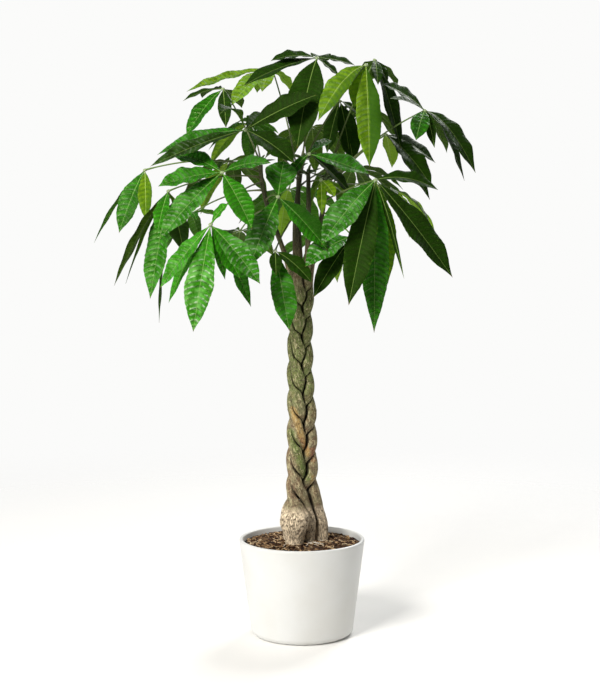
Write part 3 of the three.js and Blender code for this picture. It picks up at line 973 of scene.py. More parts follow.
@dataclass
class Bed:
    """The soil in the planter, with the chips, fibres and roots that lie on it.

    Each root has the x and y where it starts, its heading, its length and how much it curls.
    """

    planter: Planter
    plait: Plait
    level: float = 186
    gap: float = 0.3
    sides: int = 96
    chips: int = 950
    chip_spread: float = 117
    chip_end: float = 116
    fibres: int = 130
    thread_spread: float = 108
    thread_end: float = 114
    root_radius: float = 0.6
    root_lines: tuple = (
        (11, -20, -0.5, 46, -0.3), (13, -18, -0.1, 34, -0.6), (9, -24, -1.2, 30, 0.9),
        (10, -26, -0.8, 22, -1.4), (30, 4, -1.3, 26, 0.9), (-31, -36, -2.4, 24, 0.8),
    )
    seed: int = 11

    def top(self, x: float, y: float) -> float:
        """Finds the height of the soil's surface at a point in plan.

        Args:
            x: How far right it lies.
            y: How far back it lies.

        Returns:
            The height.
        """
        mound = self.level + 4 * (1 - (math.hypot(x, y) / 112) ** 2)
        rough = noise.noise(Vector((x * 0.09, y * 0.09, 3.1))) * 1.5
        rough += noise.noise(Vector((x * 0.31, y * 0.31, 8.4))) * 0.9
        return mound + rough

    def clear(self, x: float, y: float, room: float) -> bool:
        """Tells whether a point in plan is clear of the stems."""
        return all(math.hypot(x - f[0], y - f[1]) > f[2] * 0.93 + room for f in self.plait.feet)

    def spot(self, rng: random.Random, spread: float) -> tuple[float, float, float]:
        """Draws a point of the bed, as its distance from the middle, its x and its y."""
        r, heading = spread * math.sqrt(rng.random()), rng.random() * 2 * math.pi
        return r, r * math.cos(heading), r * math.sin(heading)

    def body(self) -> Mould:
        """Builds the soil itself, a closed body with a rough, mounded top.

        Returns:
            Its mesh.
        """
        mould = Mould(("shade",))
        inner = self.planter.inner
        low = self.planter.floor + self.gap
        line = [(2.0, low), (inner(self.planter.floor) - low, low), (inner(24) - 0.4, 24.4)]
        line += [(inner(z) - self.gap, z) for z in (60, 100, 140, 178)]
        rings = [level_ring(r, z, self.sides) for r, z in line]
        for r in np.linspace(inner(self.level) - self.gap, 1.5, 34):
            rings.append(np.array([(x, y, self.top(x, y)) for x, y in circle(self.sides) * r]))
        mould.tube(np.array(rings))
        return mould

    def scatter(self) -> Mould:
        """Builds the chips that lie on the soil, each a rough, tilted splinter of bark.

        Returns:
            Their mesh.
        """
        mould = Mould(("shade",))
        rng = random.Random(self.seed)
        corners = np.array([(x, y, z) for z in (-1, 1) for y in (-1, 1) for x in (-1, 1)], float) / 2
        faces = ((0, 2, 3, 1), (4, 5, 7, 6), (0, 1, 5, 4), (2, 6, 7, 3), (0, 4, 6, 2), (1, 3, 7, 5))
        made = 0
        while made < self.chips:
            r, x, y = self.spot(rng, self.chip_spread)
            length = rng.uniform(3.5, 13) if rng.random() < 0.85 else rng.uniform(13, 20)
            if not self.clear(x, y, length * 0.3) or r + length * 0.4 > self.chip_end:
                continue
            size = np.array((length, rng.uniform(1.8, 5.5), rng.uniform(1.2, 3.2)))
            rough = np.array([[rng.uniform(-0.3, 0.3) for _ in range(3)] for _ in range(8)])
            yaw, pitch, roll = rng.random() * math.pi, rng.gauss(0, 0.22), rng.gauss(0, 0.4)
            box = (corners * size * (1 + rough)) @ self.spin(yaw, pitch, roll).T
            box += (x, y, self.top(x, y) + size[2] * 0.15)
            mould.add(box, faces, shade=rng.random() ** 4)
            made += 1
        return mould

    def spin(self, yaw: float, pitch: float, roll: float) -> np.ndarray:
        """Returns the matrix that leans and nods a chip and then turns it, by angles in radians."""
        steps = ((yaw, "Z"), (pitch, "Y"), (roll, "X"))
        turn, nod, lean = (Matrix.Rotation(angle, 3, axis) for angle, axis in steps)
        return np.array(turn @ nod @ lean)

    def thread(self, mould: Mould, x: float, y: float, heading: float, length: float, radius: float,
               curl: float, shade: float) -> None:
        """Adds one thin thread that lies on the soil.

        Args:
            mould: What it is added to.
            x: Where it starts, across.
            y: Where it starts, front to back.
            heading: The way that it sets out, in radians.
            length: How long it is.
            radius: How thick it is, as a radius.
            curl: How much it turns over its length, in radians.
            shade: How light it is.
        """
        path = []
        steps = 10
        for i in range(steps + 1):
            if math.hypot(x, y) > self.thread_end:
                break
            lift = radius + 1.6 * math.sin(i / steps * math.pi)
            path.append((x, y, self.top(x, y) + lift + 0.8))
            heading += curl / steps + 0.25 * math.sin(i * 1.7 + curl)
            x += length / steps * math.cos(heading)
            y += length / steps * math.sin(heading)
        if len(path) > 3:
            path = np.array(path)
            radii = radius * (1 - 0.6 * np.linspace(0, 1, len(path)) ** 2)
            mould.tube(curve_rings(path, radii, 5), shade=shade)

    def litter(self) -> Mould:
        """Builds the tan fibres.

        Returns:
            Their mesh.
        """
        mould = Mould(("shade",))
        rng = random.Random(self.seed + 1)
        for _ in range(self.fibres):
            _, x, y = self.spot(rng, self.thread_spread)
            if self.clear(x, y, 4):
                self.thread(mould, x, y, rng.random() * 6.3, rng.uniform(9, 34), rng.uniform(0.3, 0.75),
                            rng.gauss(0, 1.2), rng.random())
        return mould

    def roots(self) -> Mould:
        """Builds the fine pale roots in front of the stems.

        Returns:
            Their mesh.
        """
        mould = Mould(("shade",))
        for x, y, heading, length, curl in self.root_lines:
            self.thread(mould, x, y, heading, length, self.root_radius, curl, 0.9)
        return mould

    def dress(self) -> None:
        """Builds and seats the soil and what lies on it."""
        layers = (
            (self.body, "soil_bed", Compost("soil_earth", "0e0602", "2c160a", "4c2c18", 0.002), ["soil"]),
            (self.scatter, "soil_chips", Compost("soil_chips_bark", "120702", "44240f", "bc9a70"), []),
            (self.litter, "soil_fibres", Compost("soil_fibre", "b48c5e", "cca678", "ecd6b0", 0.0003), []),
            (self.roots, "soil_roots", Compost("soil_root", "cdbfa4", "ddd2bd", "efe9dc", 0.0002), []),
        )
        for build, name, finish, nodes in layers:
            settle(build().cast(name, [finish.make()]), "soil", *nodes)


# Leaves.


@dataclass(frozen=True)
class Sight:
    """The front viewpoint, from which the leaves are laid out."""

    eye: tuple = (0, -3200, 900)
    tilt: float = math.radians(5.7)
    far: float = 3200
    middle: float = 566

    def seen(self, across: float, height: float, toward: float) -> np.ndarray:
        """Finds a point of the plant from where it is seen.

        Args:
            across: How far right of the trunk it is seen.
            height: How high it is seen.
            toward: How far it lies in front of the trunk.

        Returns:
            The point.
        """
        forward = np.array((0, math.cos(self.tilt), -math.sin(self.tilt)))
        rise = np.array((0, math.sin(self.tilt), math.cos(self.tilt)))
        ray = forward * self.far + np.array((across, 0, 0)) + rise * (height - self.middle)
        return np.array(self.eye, float) + ray * ((-toward - self.eye[1]) / ray[1])


@dataclass(frozen=True)
class Finger:
    """One leaflet: its tip, its width, how it is turned about its rib and how high it arches."""

    tip: np.ndarray
    width: float
    turn: float = 0.0
    arch: float = 0.07


@dataclass(frozen=True)
class Look:
    """How a leaflet is coloured.

    Its three values are how light its green is, partly painted light; how much painted highlight it
    has, as a pale sheen with glints; and how much painted shade darkens its left half with the tip
    down, or its right half if below 0.
    """

    light: float = 0.3
    pale: float = 0.0
    painted_half_shade: float = 0.0


@dataclass(frozen=True)
class LeafPlan:
    """One leaf: its colour, the stem and height that it grows from, its knob and its leaflets."""

    name: str
    tone: Tone
    stem: int
    start: float
    hub: np.ndarray
    facing: np.ndarray
    fingers: tuple
    lift: float = 0.14
    front: bool = True


# The leaves that are seen from the front: name, tone, stem, height on the stem, knob, the way that the
# leaf faces, leaflets and, for some, the stalk's lift. A knob or a leaflet's tip is given as how far
# right it is seen, how high, and how far in front of the trunk it lies. After its tip, a leaflet has its
# width and, for some, its turn about its rib in degrees and its arch.
FRONT = (
    ("leaf_01", Tone.DEEP, 0, 956, (30, 1150, 10), (0, -0.45, 0.9), (
        (-63, 1144, 20, 40, 0, 0.08), (-118, 1094, 50, 48, 0, 0.05), (-10, 970, 80, 72, 0, 0.1),
        (106, 1135, 10, 30, 0, 0.05), (74, 1114, 10, 24, 0, 0.03), (44, 1140, -110, 44))),
    ("leaf_02", Tone.LIME, 1, 936, (128, 1136, 40), (0.1, -0.5, 0.85), (
        (32, 1024, 90, 48, 0, 0.13), (135, 931, 90, 52), (104, 1050, 20, 40), (92, 1094, -40, 36))),
    ("leaf_03", Tone.DEEP, 2, 916, (146, 1146, -40), (0.2, -0.3, 0.9), (
        (152, 1096, 30, 24), (171, 1101, -20, 24, 0, 0.1), (198, 968, -20, 46),
        (190, 1090, -110, 40), (130, 1100, -120, 40))),
    ("leaf_04", Tone.DEEP, 2, 906, (246, 1045, 10), (0.15, -0.4, 0.9), (
        (347, 920, 40, 54, 0, 0.14), (325, 904, -40, 46, 0, 0.13), (228, 985, 70, 38),
        (265, 970, 40, 22, 50, 0.12), (158, 1099, -10, 44), (176, 1069, 50, 28), (290, 960, -90, 40))),
    ("leaf_05", Tone.GREEN, 2, 878, (147, 906, 110), (0.1, -0.6, 0.8), (
        (301, 711, 150, 62, 0, 0.03), (93, 655, 190, 58, 0, 0.03), (38, 776, 190, 60, 0, 0.04),
        (272, 886, 80, 42, 0, 0.1), (172, 698, 60, 52), (144, 600, 120, 56), (204, 708, 110, 12, 60)), 0.05),
    ("leaf_06", Tone.GREEN, 0, 940, (14, 958, 50), (0, -0.6, 0.8), (
        (135, 918, 70, 48, 0, 0.02), (100, 876, 5, 38, 0, 0.04), (-30, 905, 70, 24), (60, 985, 0, 24))),
    ("leaf_07", Tone.GREEN, 4, 935, (-160, 921, 100), (-0.1, -0.6, 0.8), (
        (-288, 893, 130, 54, 0, 0.04), (-62, 940, 120, 40), (-284, 788, 170, 58, 0, 0.04),
        (-100, 808, 190, 48, 0, 0.04), (-262, 956, 40, 44))),
    ("leaf_08", Tone.GREEN, 4, 915, (-183, 817, 180), (-0.1, -0.6, 0.8), (
        (-218, 602, 215, 58, 0, 0.03), (-284, 690, 190, 42, 0, 0.03), (-84, 698, 230, 50, 0, 0.035),
        (-124, 708, 168, 42, 0, 0.03), (-148, 858, 190, 26), (-154, 706, 140, 22),
        (-267, 660, 120, 36), (-102, 652, 80, 42))),
    ("leaf_09", Tone.GREEN, 4, 880, (-48, 872, 80), (0, -0.6, 0.8), (
        (-104, 734, 130, 60, 0, 0.03), (51, 765, 110, 52, 0, 0.04), (-60, 800, 0, 38), (-36, 944, 60, 64))),
    ("leaf_10", Tone.LIME, 4, 945, (-314, 926, -30), (-0.2, -0.4, 0.9), (
        (-366, 800, -10, 46, -25), (-416, 780, -40, 20, 50), (-312, 824, 20, 30), (-340, 860, -100, 36))),
    ("leaf_11", Tone.DEEP, 4, 925, (-267, 884, 50), (-0.2, -0.5, 0.85), (
        (-376, 694, 50, 30, 70), (-353, 698, 90, 24, 60), (-290, 798, 110, 32),
        (-304, 668, 80, 52, 0, 0.02), (-286, 620, 40, 28, 40, 0.02), (-236, 760, -10, 50))),
    ("leaf_12", Tone.DEEP, 0, 925, (-113, 1006, 60), (-0.1, -0.5, 0.85), (
        (-290, 956, 50, 44, 0, 0.06), (-304, 933, 120, 48, 0, 0.03), (-165, 1037, 130, 46, 0, 0.26),
        (-15, 939, 130, 56, 0, 0.05), (28, 1076, 90, 54, 25, 0.03), (-56, 1034, -30, 54))),
    ("leaf_13", Tone.DEEP, 4, 952, (-158, 1088, -40), (-0.1, -0.4, 0.9), (
        (-238, 1064, -30, 24), (-232, 992, 10, 44), (-152, 1010, 30, 28),
        (-200, 1070, -120, 36), (-120, 1050, -130, 36))),
    ("leaf_14", Tone.LIME, 1, 925, (-60, 1130, -90), (0, -0.4, 0.9), (
        (-231, 1083, -60, 40, 0, 0.03), (-142, 1054, -10, 46), (-80, 1082, -10, 34),
        (-20, 1080, -170, 36), (-90, 1080, -200, 38))),
    ("leaf_15", Tone.DEEP, 0, 850, (-54, 764, 110), (0.1, -0.6, 0.8), (
        (20, 700, 140, 40), (-26, 605, 160, 50, 0, 0.02), (-52, 716, 152, 26))),
    ("leaf_16", Tone.DEEP, 2, 856, (101, 793, 62), (0, -0.6, 0.8), (
        (23, 671, 90, 46, 0, 0.04), (96, 702, 80, 26), (6, 732, 128, 54), (160, 720, 0, 40),
        (130, 760, -60, 36)), 0.1),
    ("leaf_17", Tone.LIME, 3, 915, (38, 906, 12), (0, -0.6, 0.8), (
        (40, 836, 30, 20), (66, 872, 40, 24), (92, 872, -20, 24), (14, 846, -30, 26))),
    ("leaf_18", Tone.DEEP, 2, 892, (168, 997, -45), (0.15, -0.5, 0.85), (
        (260, 892, 0, 54), (267, 940, -75, 46), (256, 866, -65, 42), (226, 938, -150, 36),
        (180, 930, -150, 36))),
    ("leaf_19", Tone.DEEP, 1, 930, (76, 1064, -80), (0, -0.4, 0.9), (
        (104, 936, -70, 48), (94, 968, -60, 26), (120, 1032, -50, 24), (40, 1040, -170, 40),
        (50, 960, -90, 38))),
)

# The rear half's leaves: name, tone, stem, height on the stem, knob, heading in degrees, reach and how
# many leaflets they have.
REAR = (
    ("leaf_20", Tone.DEEP, 4, 940, (-150, 150, 960), 130, 150, 7),
    ("leaf_21", Tone.GREEN, 1, 915, (-28, 252, 902), 100, 160, 7),
    ("leaf_22", Tone.DEEP, 1, 905, (110, 205, 945), 60, 150, 7),
    ("leaf_23", Tone.DEEP, 2, 900, (190, 150, 900), 35, 140, 6),
    ("leaf_24", Tone.GREEN, 4, 900, (-230, 100, 850), 160, 130, 6),
    ("leaf_25", Tone.DEEP, 1, 942, (20, 130, 1030), 85, 140, 7),
    ("leaf_26", Tone.GREEN, 4, 957, (-110, 190, 1040), 120, 130, 6),
    ("leaf_27", Tone.DEEP, 2, 926, (130, 160, 1070), 50, 120, 6),
    ("leaf_28", Tone.GREEN, 2, 850, (60, 190, 800), 80, 150, 7),
    ("leaf_29", Tone.DEEP, 4, 860, (-130, 180, 815), 125, 140, 6),
)

# How light the greens of a leaf are, where that isn't as usual: partly the leaf's own tone and partly
# painted light and shade.
LIGHTNESS_AND_PAINTED_LIGHT = {
    "leaf_02": 0.5, "leaf_04": 0.0, "leaf_05": 0.15, "leaf_06": 0.1, "leaf_07": 0.45, "leaf_08": 1.0,
    "leaf_09": 0.25, "leaf_10": 0.35, "leaf_11": 0.7, "leaf_12": 0.0, "leaf_14": 0.7, "leaf_15": 0.5,
    "leaf_16": 0.45,
}

# How much painted highlight, a pale sheen with glints, single leaflets have, by leaf and by their place in
# it.
PAINTED_HIGHLIGHT = {
    "leaf_02": {0: 0.3, 1: 0.3}, "leaf_05": {2: 0.8, 5: 0.15}, "leaf_06": {0: 0.2},
    "leaf_07": {0: 0.3, 1: 0.4, 2: 0.6}, "leaf_08": {0: 1.3, 1: 0.4, 2: 1.0}, "leaf_09": {0: 0.9, 3: 0.3},
    "leaf_10": {0: 0.3}, "leaf_11": {3: 0.4}, "leaf_12": {0: 0.3, 1: 0.2},
    "leaf_14": {0: 0.7, 1: 0.8, 2: 0.7}, "leaf_15": {1: 0.3}, "leaf_16": {2: 1.0},
}

# How much painted shade darkens one half of single leaflets.
PAINTED_HALF_SHADE = {
    "leaf_02": {0: -0.5, 1: -1.0}, "leaf_07": {1: -0.5}, "leaf_08": {2: 0.4}, "leaf_09": {1: -0.9},
    "leaf_10": {0: -0.5, 2: -0.5}, "leaf_14": {0: -0.5},
}

# How pale the knob of a leaf is, where that isn't as usual.
KNOBS = {"leaf_15": 0.9}

# The leaflets whose tone isn't their leaf's.
ODD = {
    Tone.DEEP: {"leaf_05": (0, 1, 3, 6), "leaf_06": (1,)},
    Tone.GREEN: {
        "leaf_04": (2,), "leaf_10": (0, 1), "leaf_11": (2, 3), "leaf_12": (0,), "leaf_13": (1,),
        "leaf_15": (1,), "leaf_16": (2,), "leaf_24": (2,),
    },
    Tone.LIME: {
        "leaf_05": (4,), "leaf_18": (4,), "leaf_20": (3,), "leaf_21": (3,), "leaf_23": (2, 3),
        "leaf_26": (3,), "leaf_28": (2, 3),
    },
}


def front_plans(sight: Sight) -> list[LeafPlan]:
    """Plans the leaves that are laid out from the front.

    Args:
        sight: The front viewpoint.

    Returns:
        The plans.
    """
    plans = []
    for name, tone, stem, start, hub, facing, rows, *rest in FRONT:
        fingers = tuple(Finger(sight.seen(*row[:3]), *row[3:]) for row in rows)
        plans.append(LeafPlan(name, tone, stem, start, sight.seen(*hub), unit(np.array(facing, float)),
                              fingers, *rest))
    return plans


def rear_plans() -> list[LeafPlan]:
    """Plans the rear half's leaves, whose leaflets fan out evenly.

    Returns:
        The plans.
    """
    plans = []
    for order, (name, tone, stem, start, hub, heading, reach, count) in enumerate(REAR):
        hub = np.array(hub, float)
        outward = np.array((math.cos(math.radians(heading)), math.sin(math.radians(heading)), 0))
        facing = unit(outward * 0.45 + UP * 0.9)
        forward = unit(outward - facing * float(outward @ facing))
        fingers = []
        for i in range(count):
            fan = (i / (count - 1) - 0.5) * 4.5
            vary = draw(order * 17 + i)
            length = reach * (1 - 0.09 * fan * fan) * (0.92 + 0.16 * vary)
            direction = unit(turned(forward, facing, fan) + UP * (-0.35 - 0.3 * draw(order * 31 + i)))
            fingers.append(Finger(hub + direction * length, length * 0.28, 16 * (vary - 0.5), 0.12))
        plans.append(LeafPlan(name, tone, stem, start, hub, facing, tuple(fingers), front=False))
    return plans


@dataclass
class Blade:
    """Shapes one leaflet: a folded, waved blade with a rib, drawn out to a fine tip.

    The lines give the share of the full width by the place along the blade.
    """

    front: bool
    fine: bool = False
    fold: float = 0.32
    thick: float = 0.5
    vein_gap: float = 10.5
    gap: float = 2.4
    smoothing: int = 5
    columns: tuple = (0, 0.06, 0.2, 0.4, 0.6, 0.8, 0.93, 1)
    front_line: tuple = ((0, 0), (0.06, 0.1), (0.16, 0.38), (0.38, 0.86), (0.6, 1), (0.76, 0.83),
                         (0.87, 0.5), (0.94, 0.2), (0.975, 0.07), (1, 0))
    rear_line: tuple = ((0, 0), (0.08, 0.16), (0.2, 0.5), (0.36, 0.87), (0.52, 1), (0.7, 0.9),
                        (0.84, 0.58), (0.93, 0.22), (0.97, 0.08), (1, 0))

    def breadth(self, stations: np.ndarray) -> np.ndarray:
        """Finds how broad the blade is, as a smooth line.

        Args:
            stations: Places along it, from 0 to 1.

        Returns:
            The share of its full width at each.
        """
        line = np.array(self.front_line if self.front else self.rear_line)
        fine = np.linspace(0, 1, 241)
        width = np.interp(fine, line[:, 0], line[:, 1])
        for _ in range(self.smoothing):
            width[1:-1] = (width[:-2] + 2 * width[1:-1] + width[2:]) / 4
        return np.interp(stations, fine, width)

    def rise(self, t: np.ndarray, side: np.ndarray, half: np.ndarray, vein: np.ndarray,
             seed: float) -> np.ndarray:
        """Finds how far the blade rises beside its rib, by its fold, waves, edge and pillows.

        Args:
            t: The stations along it, a column from 0 to 1.
            side: The places across it, a row from -1 to 1.
            half: Half its width at each station.
            vein: The side veins, each a whole number, by station and place.
            seed: What varies it.

        Returns:
            The rise in millimetres, by station and place.
        """
        away = np.abs(side)
        waves = (2.2 + 1.6 * draw(seed + 0.3)) * 2 * math.pi
        ripple = np.sin(waves * t + draw(seed) * 6.28 + (side > 0) * 1.9)
        puff = 0.085 if self.fine else 0.02
        pillow = np.abs(np.sin(math.pi * vein)) ** 0.7 * away ** 0.5 * (1 - 0.5 * side ** 4)
        lift = self.fold * away ** 1.15 - 0.12 * away ** 4
        lift = lift + ripple * 0.10 * away ** 2.5 * between(t, 0.08, 0.3, 0.85, 1)
        return half * (lift + pillow * puff * between(t, 0.05, 0.2, 0.85, 1))

    def shape(self, plan: LeafPlan, finger: Finger, seed: float, mould: Mould, skin: int,
              look: Look) -> None:
        """Adds one leaflet to a leaf.

        Args:
            plan: The leaf.
            finger: The leaflet.
            seed: What varies it.
            mould: What it is added to.
            skin: The number of the upper side's material; the next is the underside's.
            look: How it is coloured.
        """
        length = float(np.linalg.norm(finger.tip - plan.hub))
        middle = (plan.hub + finger.tip) / 2 + UP * 2 * finger.arch * length
        root = plan.hub + unit(middle - plan.hub) * self.gap
        step, most = (1.8, 120) if self.fine else (4.6, 46)
        rows = int(min(max(length / step, 16), most))
        t = np.linspace(0, 1, rows + 1)[:, None]
        spine = bowed(root, middle, finger.tip, t)
        along = units(2 * (1 - t) * (middle - root) + 2 * t * (finger.tip - middle))
        normal = units(plan.facing - along * (along @ plan.facing)[:, None])
        normal = np.array([turned(n, a, math.radians(finger.turn)) for n, a in zip(normal, along)])
        across = np.cross(along, normal)
        side = np.array([-c for c in self.columns[:0:-1]] + list(self.columns))[None, :]
        half = np.maximum(finger.width * self.breadth(t) / 2, 0.9 * (1 - t) ** 3)
        count = max(6, round(length / self.vein_gap))
        vein = count * (t - half / length * (0.2 * np.abs(side) + 0.3 * side * side))
        lift = self.rise(t, side, half, vein, seed)
        half = half * (1 + 0.013 * np.sin(2 * math.pi * vein) * np.abs(side) ** 5)
        sheet = spine[:, None, :] + across[:, None, :] * (side * half)[..., None]
        sheet = sheet + normal[:, None, :] * lift[..., None]
        depth = self.thick / 2 * (1 - np.abs(side) ** 6) * (1 - 0.5 * t)
        ridge = 0.75 * np.exp(-(side * half / 0.9) ** 2) * (1 - 0.8 * t)
        upper = sheet + normal[:, None, :] * depth[..., None]
        lower = sheet - normal[:, None, :] * (depth + ridge)[..., None]
        marks = {
            "along": t,
            "across": side * half,
            "vein": vein,
            # The lightness is partly painted light, pale carries painted highlight and the next mark painted
            # shade over one half.
            "shade": 0.7 * look.light + 0.3 * draw(seed + 0.7),
            "pale": look.pale * ease(t, 0.15, 0.5),
            "painted_half_shade": abs(look.painted_half_shade) * ease(side * np.sign(look.painted_half_shade), 0.0, 0.2),
        }
        flat = {name: np.broadcast_to(value, half.shape).reshape(-1) for name, value in marks.items()}
        wide = side.shape[1]
        starts = [row * wide + column for row in range(rows) for column in range(wide - 1)]
        quads = [(a, a + wide, a + wide + 1, a + 1) for a in starts]
        mould.add(upper.reshape(-1, 3), quads, skin, **flat)
        mould.add(lower.reshape(-1, 3), [quad[::-1] for quad in quads], skin + 1, **flat)


@dataclass
class Crown:
    """All the leaves, each with its stalk, its knob and its leaflets."""

    plait: Plait
    sight: Sight = Sight()
    stalk_radius: float = 1.7
    knob: float = 4.4
    stalk_rings: int = 22
    stalk_sides: int = 10
    knob_sides: int = 12

    def skins(self) -> dict[Tone, list[bpy.types.Material]]:
        """Makes the stalks' skin, and the upper and under skins of each tone."""
        stalk = Stalk().make()
        return {green.tone: [stalk, green.make(), green.back().make()] for green in GREENS}

    def stalk(self, plan: LeafPlan, mould: Mould) -> None:
        """Adds a leaf's stalk, thicker at both its ends, and its knob.

        Args:
            plan: The leaf.
            mould: What they are added to.
        """
        base = self.plait.middle(plan.stem, plan.start)
        start = np.array((base[0], base[1], plan.start))
        reach = float(np.linalg.norm(plan.hub - start))
        middle = blend(start, plan.hub, 0.45) + UP * plan.lift * reach
        t = np.linspace(0, 1, self.stalk_rings)
        path = bowed(start, middle, plan.hub, t[:, None])
        swell = np.exp(-(t / 0.09) ** 2) * 1.1 + np.exp(-((1 - t) / 0.05) ** 2) * 0.9
        radii = self.stalk_radius * (0.82 + 0.2 * (1 - t)) + swell * 0.8
        rings = curve_rings(path, radii, self.stalk_sides)
        mould.tube(rings, along=np.repeat(t, self.stalk_sides))
        self.add_knob(plan, mould)

    def add_knob(self, plan: LeafPlan, mould: Mould) -> None:
        """Adds the small swelling from which the leaflets spread.

        Args:
            plan: The leaf.
            mould: What it is added to.
        """
        first = unit(np.cross(plan.facing, (1.0, 0.2, 0.1)))
        angles = np.arange(self.knob_sides) * 2 * math.pi / self.knob_sides
        lobes = (1 + 0.08 * np.cos(angles * 5))[:, None]
        rings = []
        for level in np.linspace(-0.96, 0.96, 8):
            radius = self.knob * math.sqrt(1 - level * level)
            centre = plan.hub + plan.facing * level * self.knob * 0.62
            rings.append(ring_round(centre, plan.facing, radius * lobes, self.knob_sides, first))
        mould.tube(np.array(rings), along=1.0, pale=KNOBS.get(plan.name, 0.35))

    def dress(self) -> None:
        """Builds and seats every leaf."""
        skins = self.skins()
        for order, plan in enumerate(front_plans(self.sight) + rear_plans()):
            mould = Mould(("along", "across", "vein", "shade", "pale", "painted_half_shade"))
            self.stalk(plan, mould)
            finish = list(skins[plan.tone])
            for i, finger in enumerate(plan.fingers):
                tone = next((t for t, leaves in ODD.items() if i in leaves.get(plan.name, ())), plan.tone)
                top = skins[tone][1]
                if top not in finish:
                    finish += skins[tone][1:]
                # Each leaflet's lightness, partly painted light, its painted highlight and its painted half
                # shade.
                look = Look(LIGHTNESS_AND_PAINTED_LIGHT.get(plan.name, 0.3), PAINTED_HIGHLIGHT.get(plan.name, {}).get(i, 0.0),
                            PAINTED_HALF_SHADE.get(plan.name, {}).get(i, 0.0))
                blade = Blade(plan.front, plan.front and tone is not Tone.DEEP)
                blade.shape(plan, finger, order * 13.1 + i * 1.7, mould, finish.index(top), look)
            settle(mould.cast(f"{plan.name}_fine", finish), plan.tone.value, plan.name)


@dataclass
class YoungGrowth:
    """The buds at the stems' tips, each ringed by narrow scales and small folded leaves."""

    plait: Plait
    scales: int = 8
    folded: int = 5
    seed: int = 23
    sides: int = 7
    turn: float = 2.4

    def spike(self, mould: Mould, start: np.ndarray, heading: np.ndarray, length: float, radius: float,
              pale: float) -> None:
        """Adds one pointed scale or folded leaf that bends outward.

        Args:
            mould: What it is added to.
            start: Where it grows from.
            heading: The way that it sets out.
            length: How long it is.
            radius: How thick its middle is, as a radius.
            pale: How pale its tip is.
        """
        t = np.linspace(0, 1, 9)
        outward = unit(heading * (1, 1, 0) + (0.001, 0, 0))
        bend = (outward * 0.35 - UP * 0.25) * length
        path = start + heading * length * t[:, None] + bend * t[:, None] ** 2
        girth = 0.35 + np.sin(math.pi * np.clip(t * 0.9 + 0.08, 0, 1)) ** 0.8
        radii = radius * girth * (1 - 0.5 * t)
        radii[-1] = 0.15
        mould.tube(curve_rings(path, radii, self.sides), along=np.repeat(t, self.sides),
                   pale=np.repeat(pale * t ** 4, self.sides))

    def dress(self) -> None:
        """Builds and seats the growth of all the tips as one piece."""
        mould = Mould(("along", "pale"))
        rng = random.Random(self.seed)
        for x, y, z, _ in self.plait.tips:
            for i in range(self.scales + self.folded):
                angle = i * self.turn + rng.uniform(-0.3, 0.3)
                folded = i >= self.scales
                rise = rng.uniform(0.5, 1.3) if folded else rng.uniform(0.1, 1.0)
                heading = unit(np.array((math.cos(angle), math.sin(angle), rise)))
                length = rng.uniform(20, 34) if folded else rng.uniform(8, 15)
                start = np.array((x, y, z - rng.uniform(3, 12)))
                self.spike(mould, start, heading, length, 2.3 if folded else 1.3, 0.0 if folded else 0.9)
            self.spike(mould, np.array((x, y, z - 6)), UP, 15, 3.6, 0.0)
        settle(mould.cast("young_growth", [Stalk("2c3a12", "3a5a14").make()]), "leaf_green")


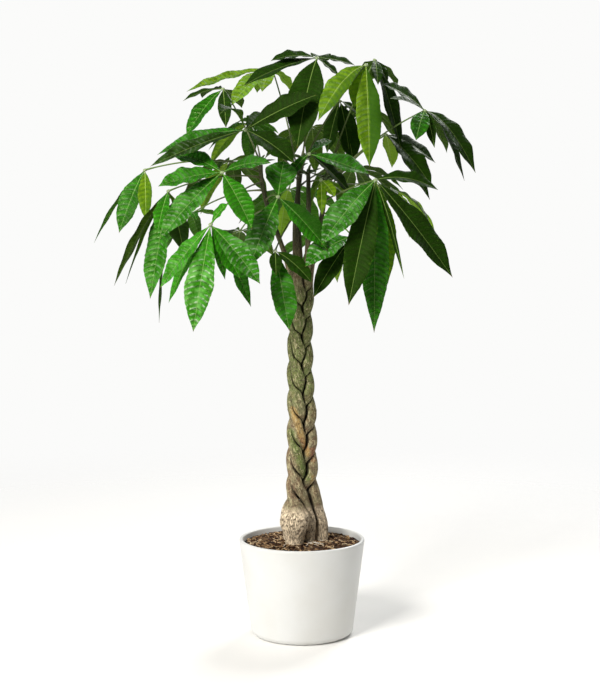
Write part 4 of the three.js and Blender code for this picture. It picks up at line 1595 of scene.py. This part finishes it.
@dataclass
class Studio:
    """Pale floor, soft lights and the camera."""

    focal: float = 1600
    frame_size: tuple = (600, 700)
    shift: float = -4
    floor_sides: int = 64
    floor_light: str = "f4f3f0"
    floor_dull: str = "efeeea"
    air: str = "fbfbfa"

    def floor(self) -> None:
        """Lays the pale floor, which fades out far from the plant."""
        mould = Mould(("edge",))
        radii = np.linspace(40, 2600, 40)
        rings = np.array([level_ring(r, -0.2, self.floor_sides) for r in radii])
        faces = [face[::-1] for face in band(len(radii), self.floor_sides)]
        faces.append(tuple(range(self.floor_sides)))
        mould.add(rings.reshape(-1, 3), faces, edge=np.repeat(ease(radii, 500, 2500), self.floor_sides))
        bench = Bench("studio_floor")
        cloud = bench.grain(bench.place(), 3, 3)
        skin = bench.skin({
            "Base Color": bench.mix(cloud * 0.3, self.floor_light, self.floor_dull),
            "Roughness": 0.8,
            "Alpha": 1 - bench.marked("edge"),
        })
        piece = mould.cast("floor", [skin])

    def lamp(self, name: str, spot: tuple, aim: tuple, size: float, power: float, colour: str) -> None:
        """Hangs one square lamp.

        Args:
            name: Its name.
            spot: Where it is, in metres.
            aim: What it points at, in metres.
            size: The length of its side, in metres.
            power: Its power in watts.
            colour: Its colour, as six hex digits.
        """
        light = bpy.data.lights.new(name, "AREA")
        light.size = size
        light.energy = power
        light.color = paint(colour)[:3]
        lamp = bpy.data.objects.new(name, light)
        lamp.location = spot
        lamp.rotation_euler = (Vector(aim) - Vector(spot)).to_track_quat("-Z", "Y").to_euler()
        bpy.context.collection.objects.link(lamp)

    def light(self) -> None:
        """Sets up the lamps and the pale surroundings."""
        self.lamp("key", (-1.6, -2.6, 2.6), (0, 0, 0.8), 1.1, 140, "fffcf8")
        self.lamp("side", (-2.9, -0.8, 1.0), (0, 0, 0.4), 1.6, 30, "fffdfa")
        self.lamp("back", (1.2, 2.4, 2.8), (0, 0, 0.9), 1.6, 90, "ffffff")
        bench = Bench("studio", bpy.data.worlds.new("studio"))
        seen = bench.signal("ShaderNodeLightPath", None, None, "Is Camera Ray")
        soft, plain = (
            bench.signal("ShaderNodeBackground", None, {"Color": paint(self.air), "Strength": power})
            for power in (0.3, 1.0))
        backdrop = bench.signal("ShaderNodeMixShader", None, {0: seen, 1: soft, 2: plain})
        bpy.context.scene.world = bench.close(backdrop, "ShaderNodeOutputWorld")
        bpy.context.scene.view_settings.view_transform = "Standard"

    def camera(self, sight: Sight) -> None:
        """Puts the camera at the front viewpoint.

        Args:
            sight: The viewpoint.
        """
        data = bpy.data.cameras.new("camera")
        data.sensor_width = 36
        data.lens = self.focal / max(self.frame_size) * data.sensor_width
        data.clip_end = 50
        camera = bpy.data.objects.new("camera", data)
        camera.location = (self.shift * MM, sight.eye[1] * MM, sight.eye[2] * MM)
        camera.rotation_euler = (math.pi / 2 - sight.tilt, 0, 0)
        bpy.context.collection.objects.link(camera)
        bpy.context.scene.camera = camera


def main() -> None:
    """Builds the plant and the studio."""
    logging.basicConfig(level=logging.INFO, format="%(message)s")
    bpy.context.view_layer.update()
    studio = Studio()
    studio.camera(Sight())
    studio.light()
    studio.floor()
    planter = Planter()
    plait = Plait()
    planter.dress()
    Bed(planter, plait).dress()
    Trunk(plait).dress()
    YoungGrowth(plait).dress()
    Crown(plait).dress()
    bpy.context.view_layer.update()


if __name__ == "__main__":
    main()
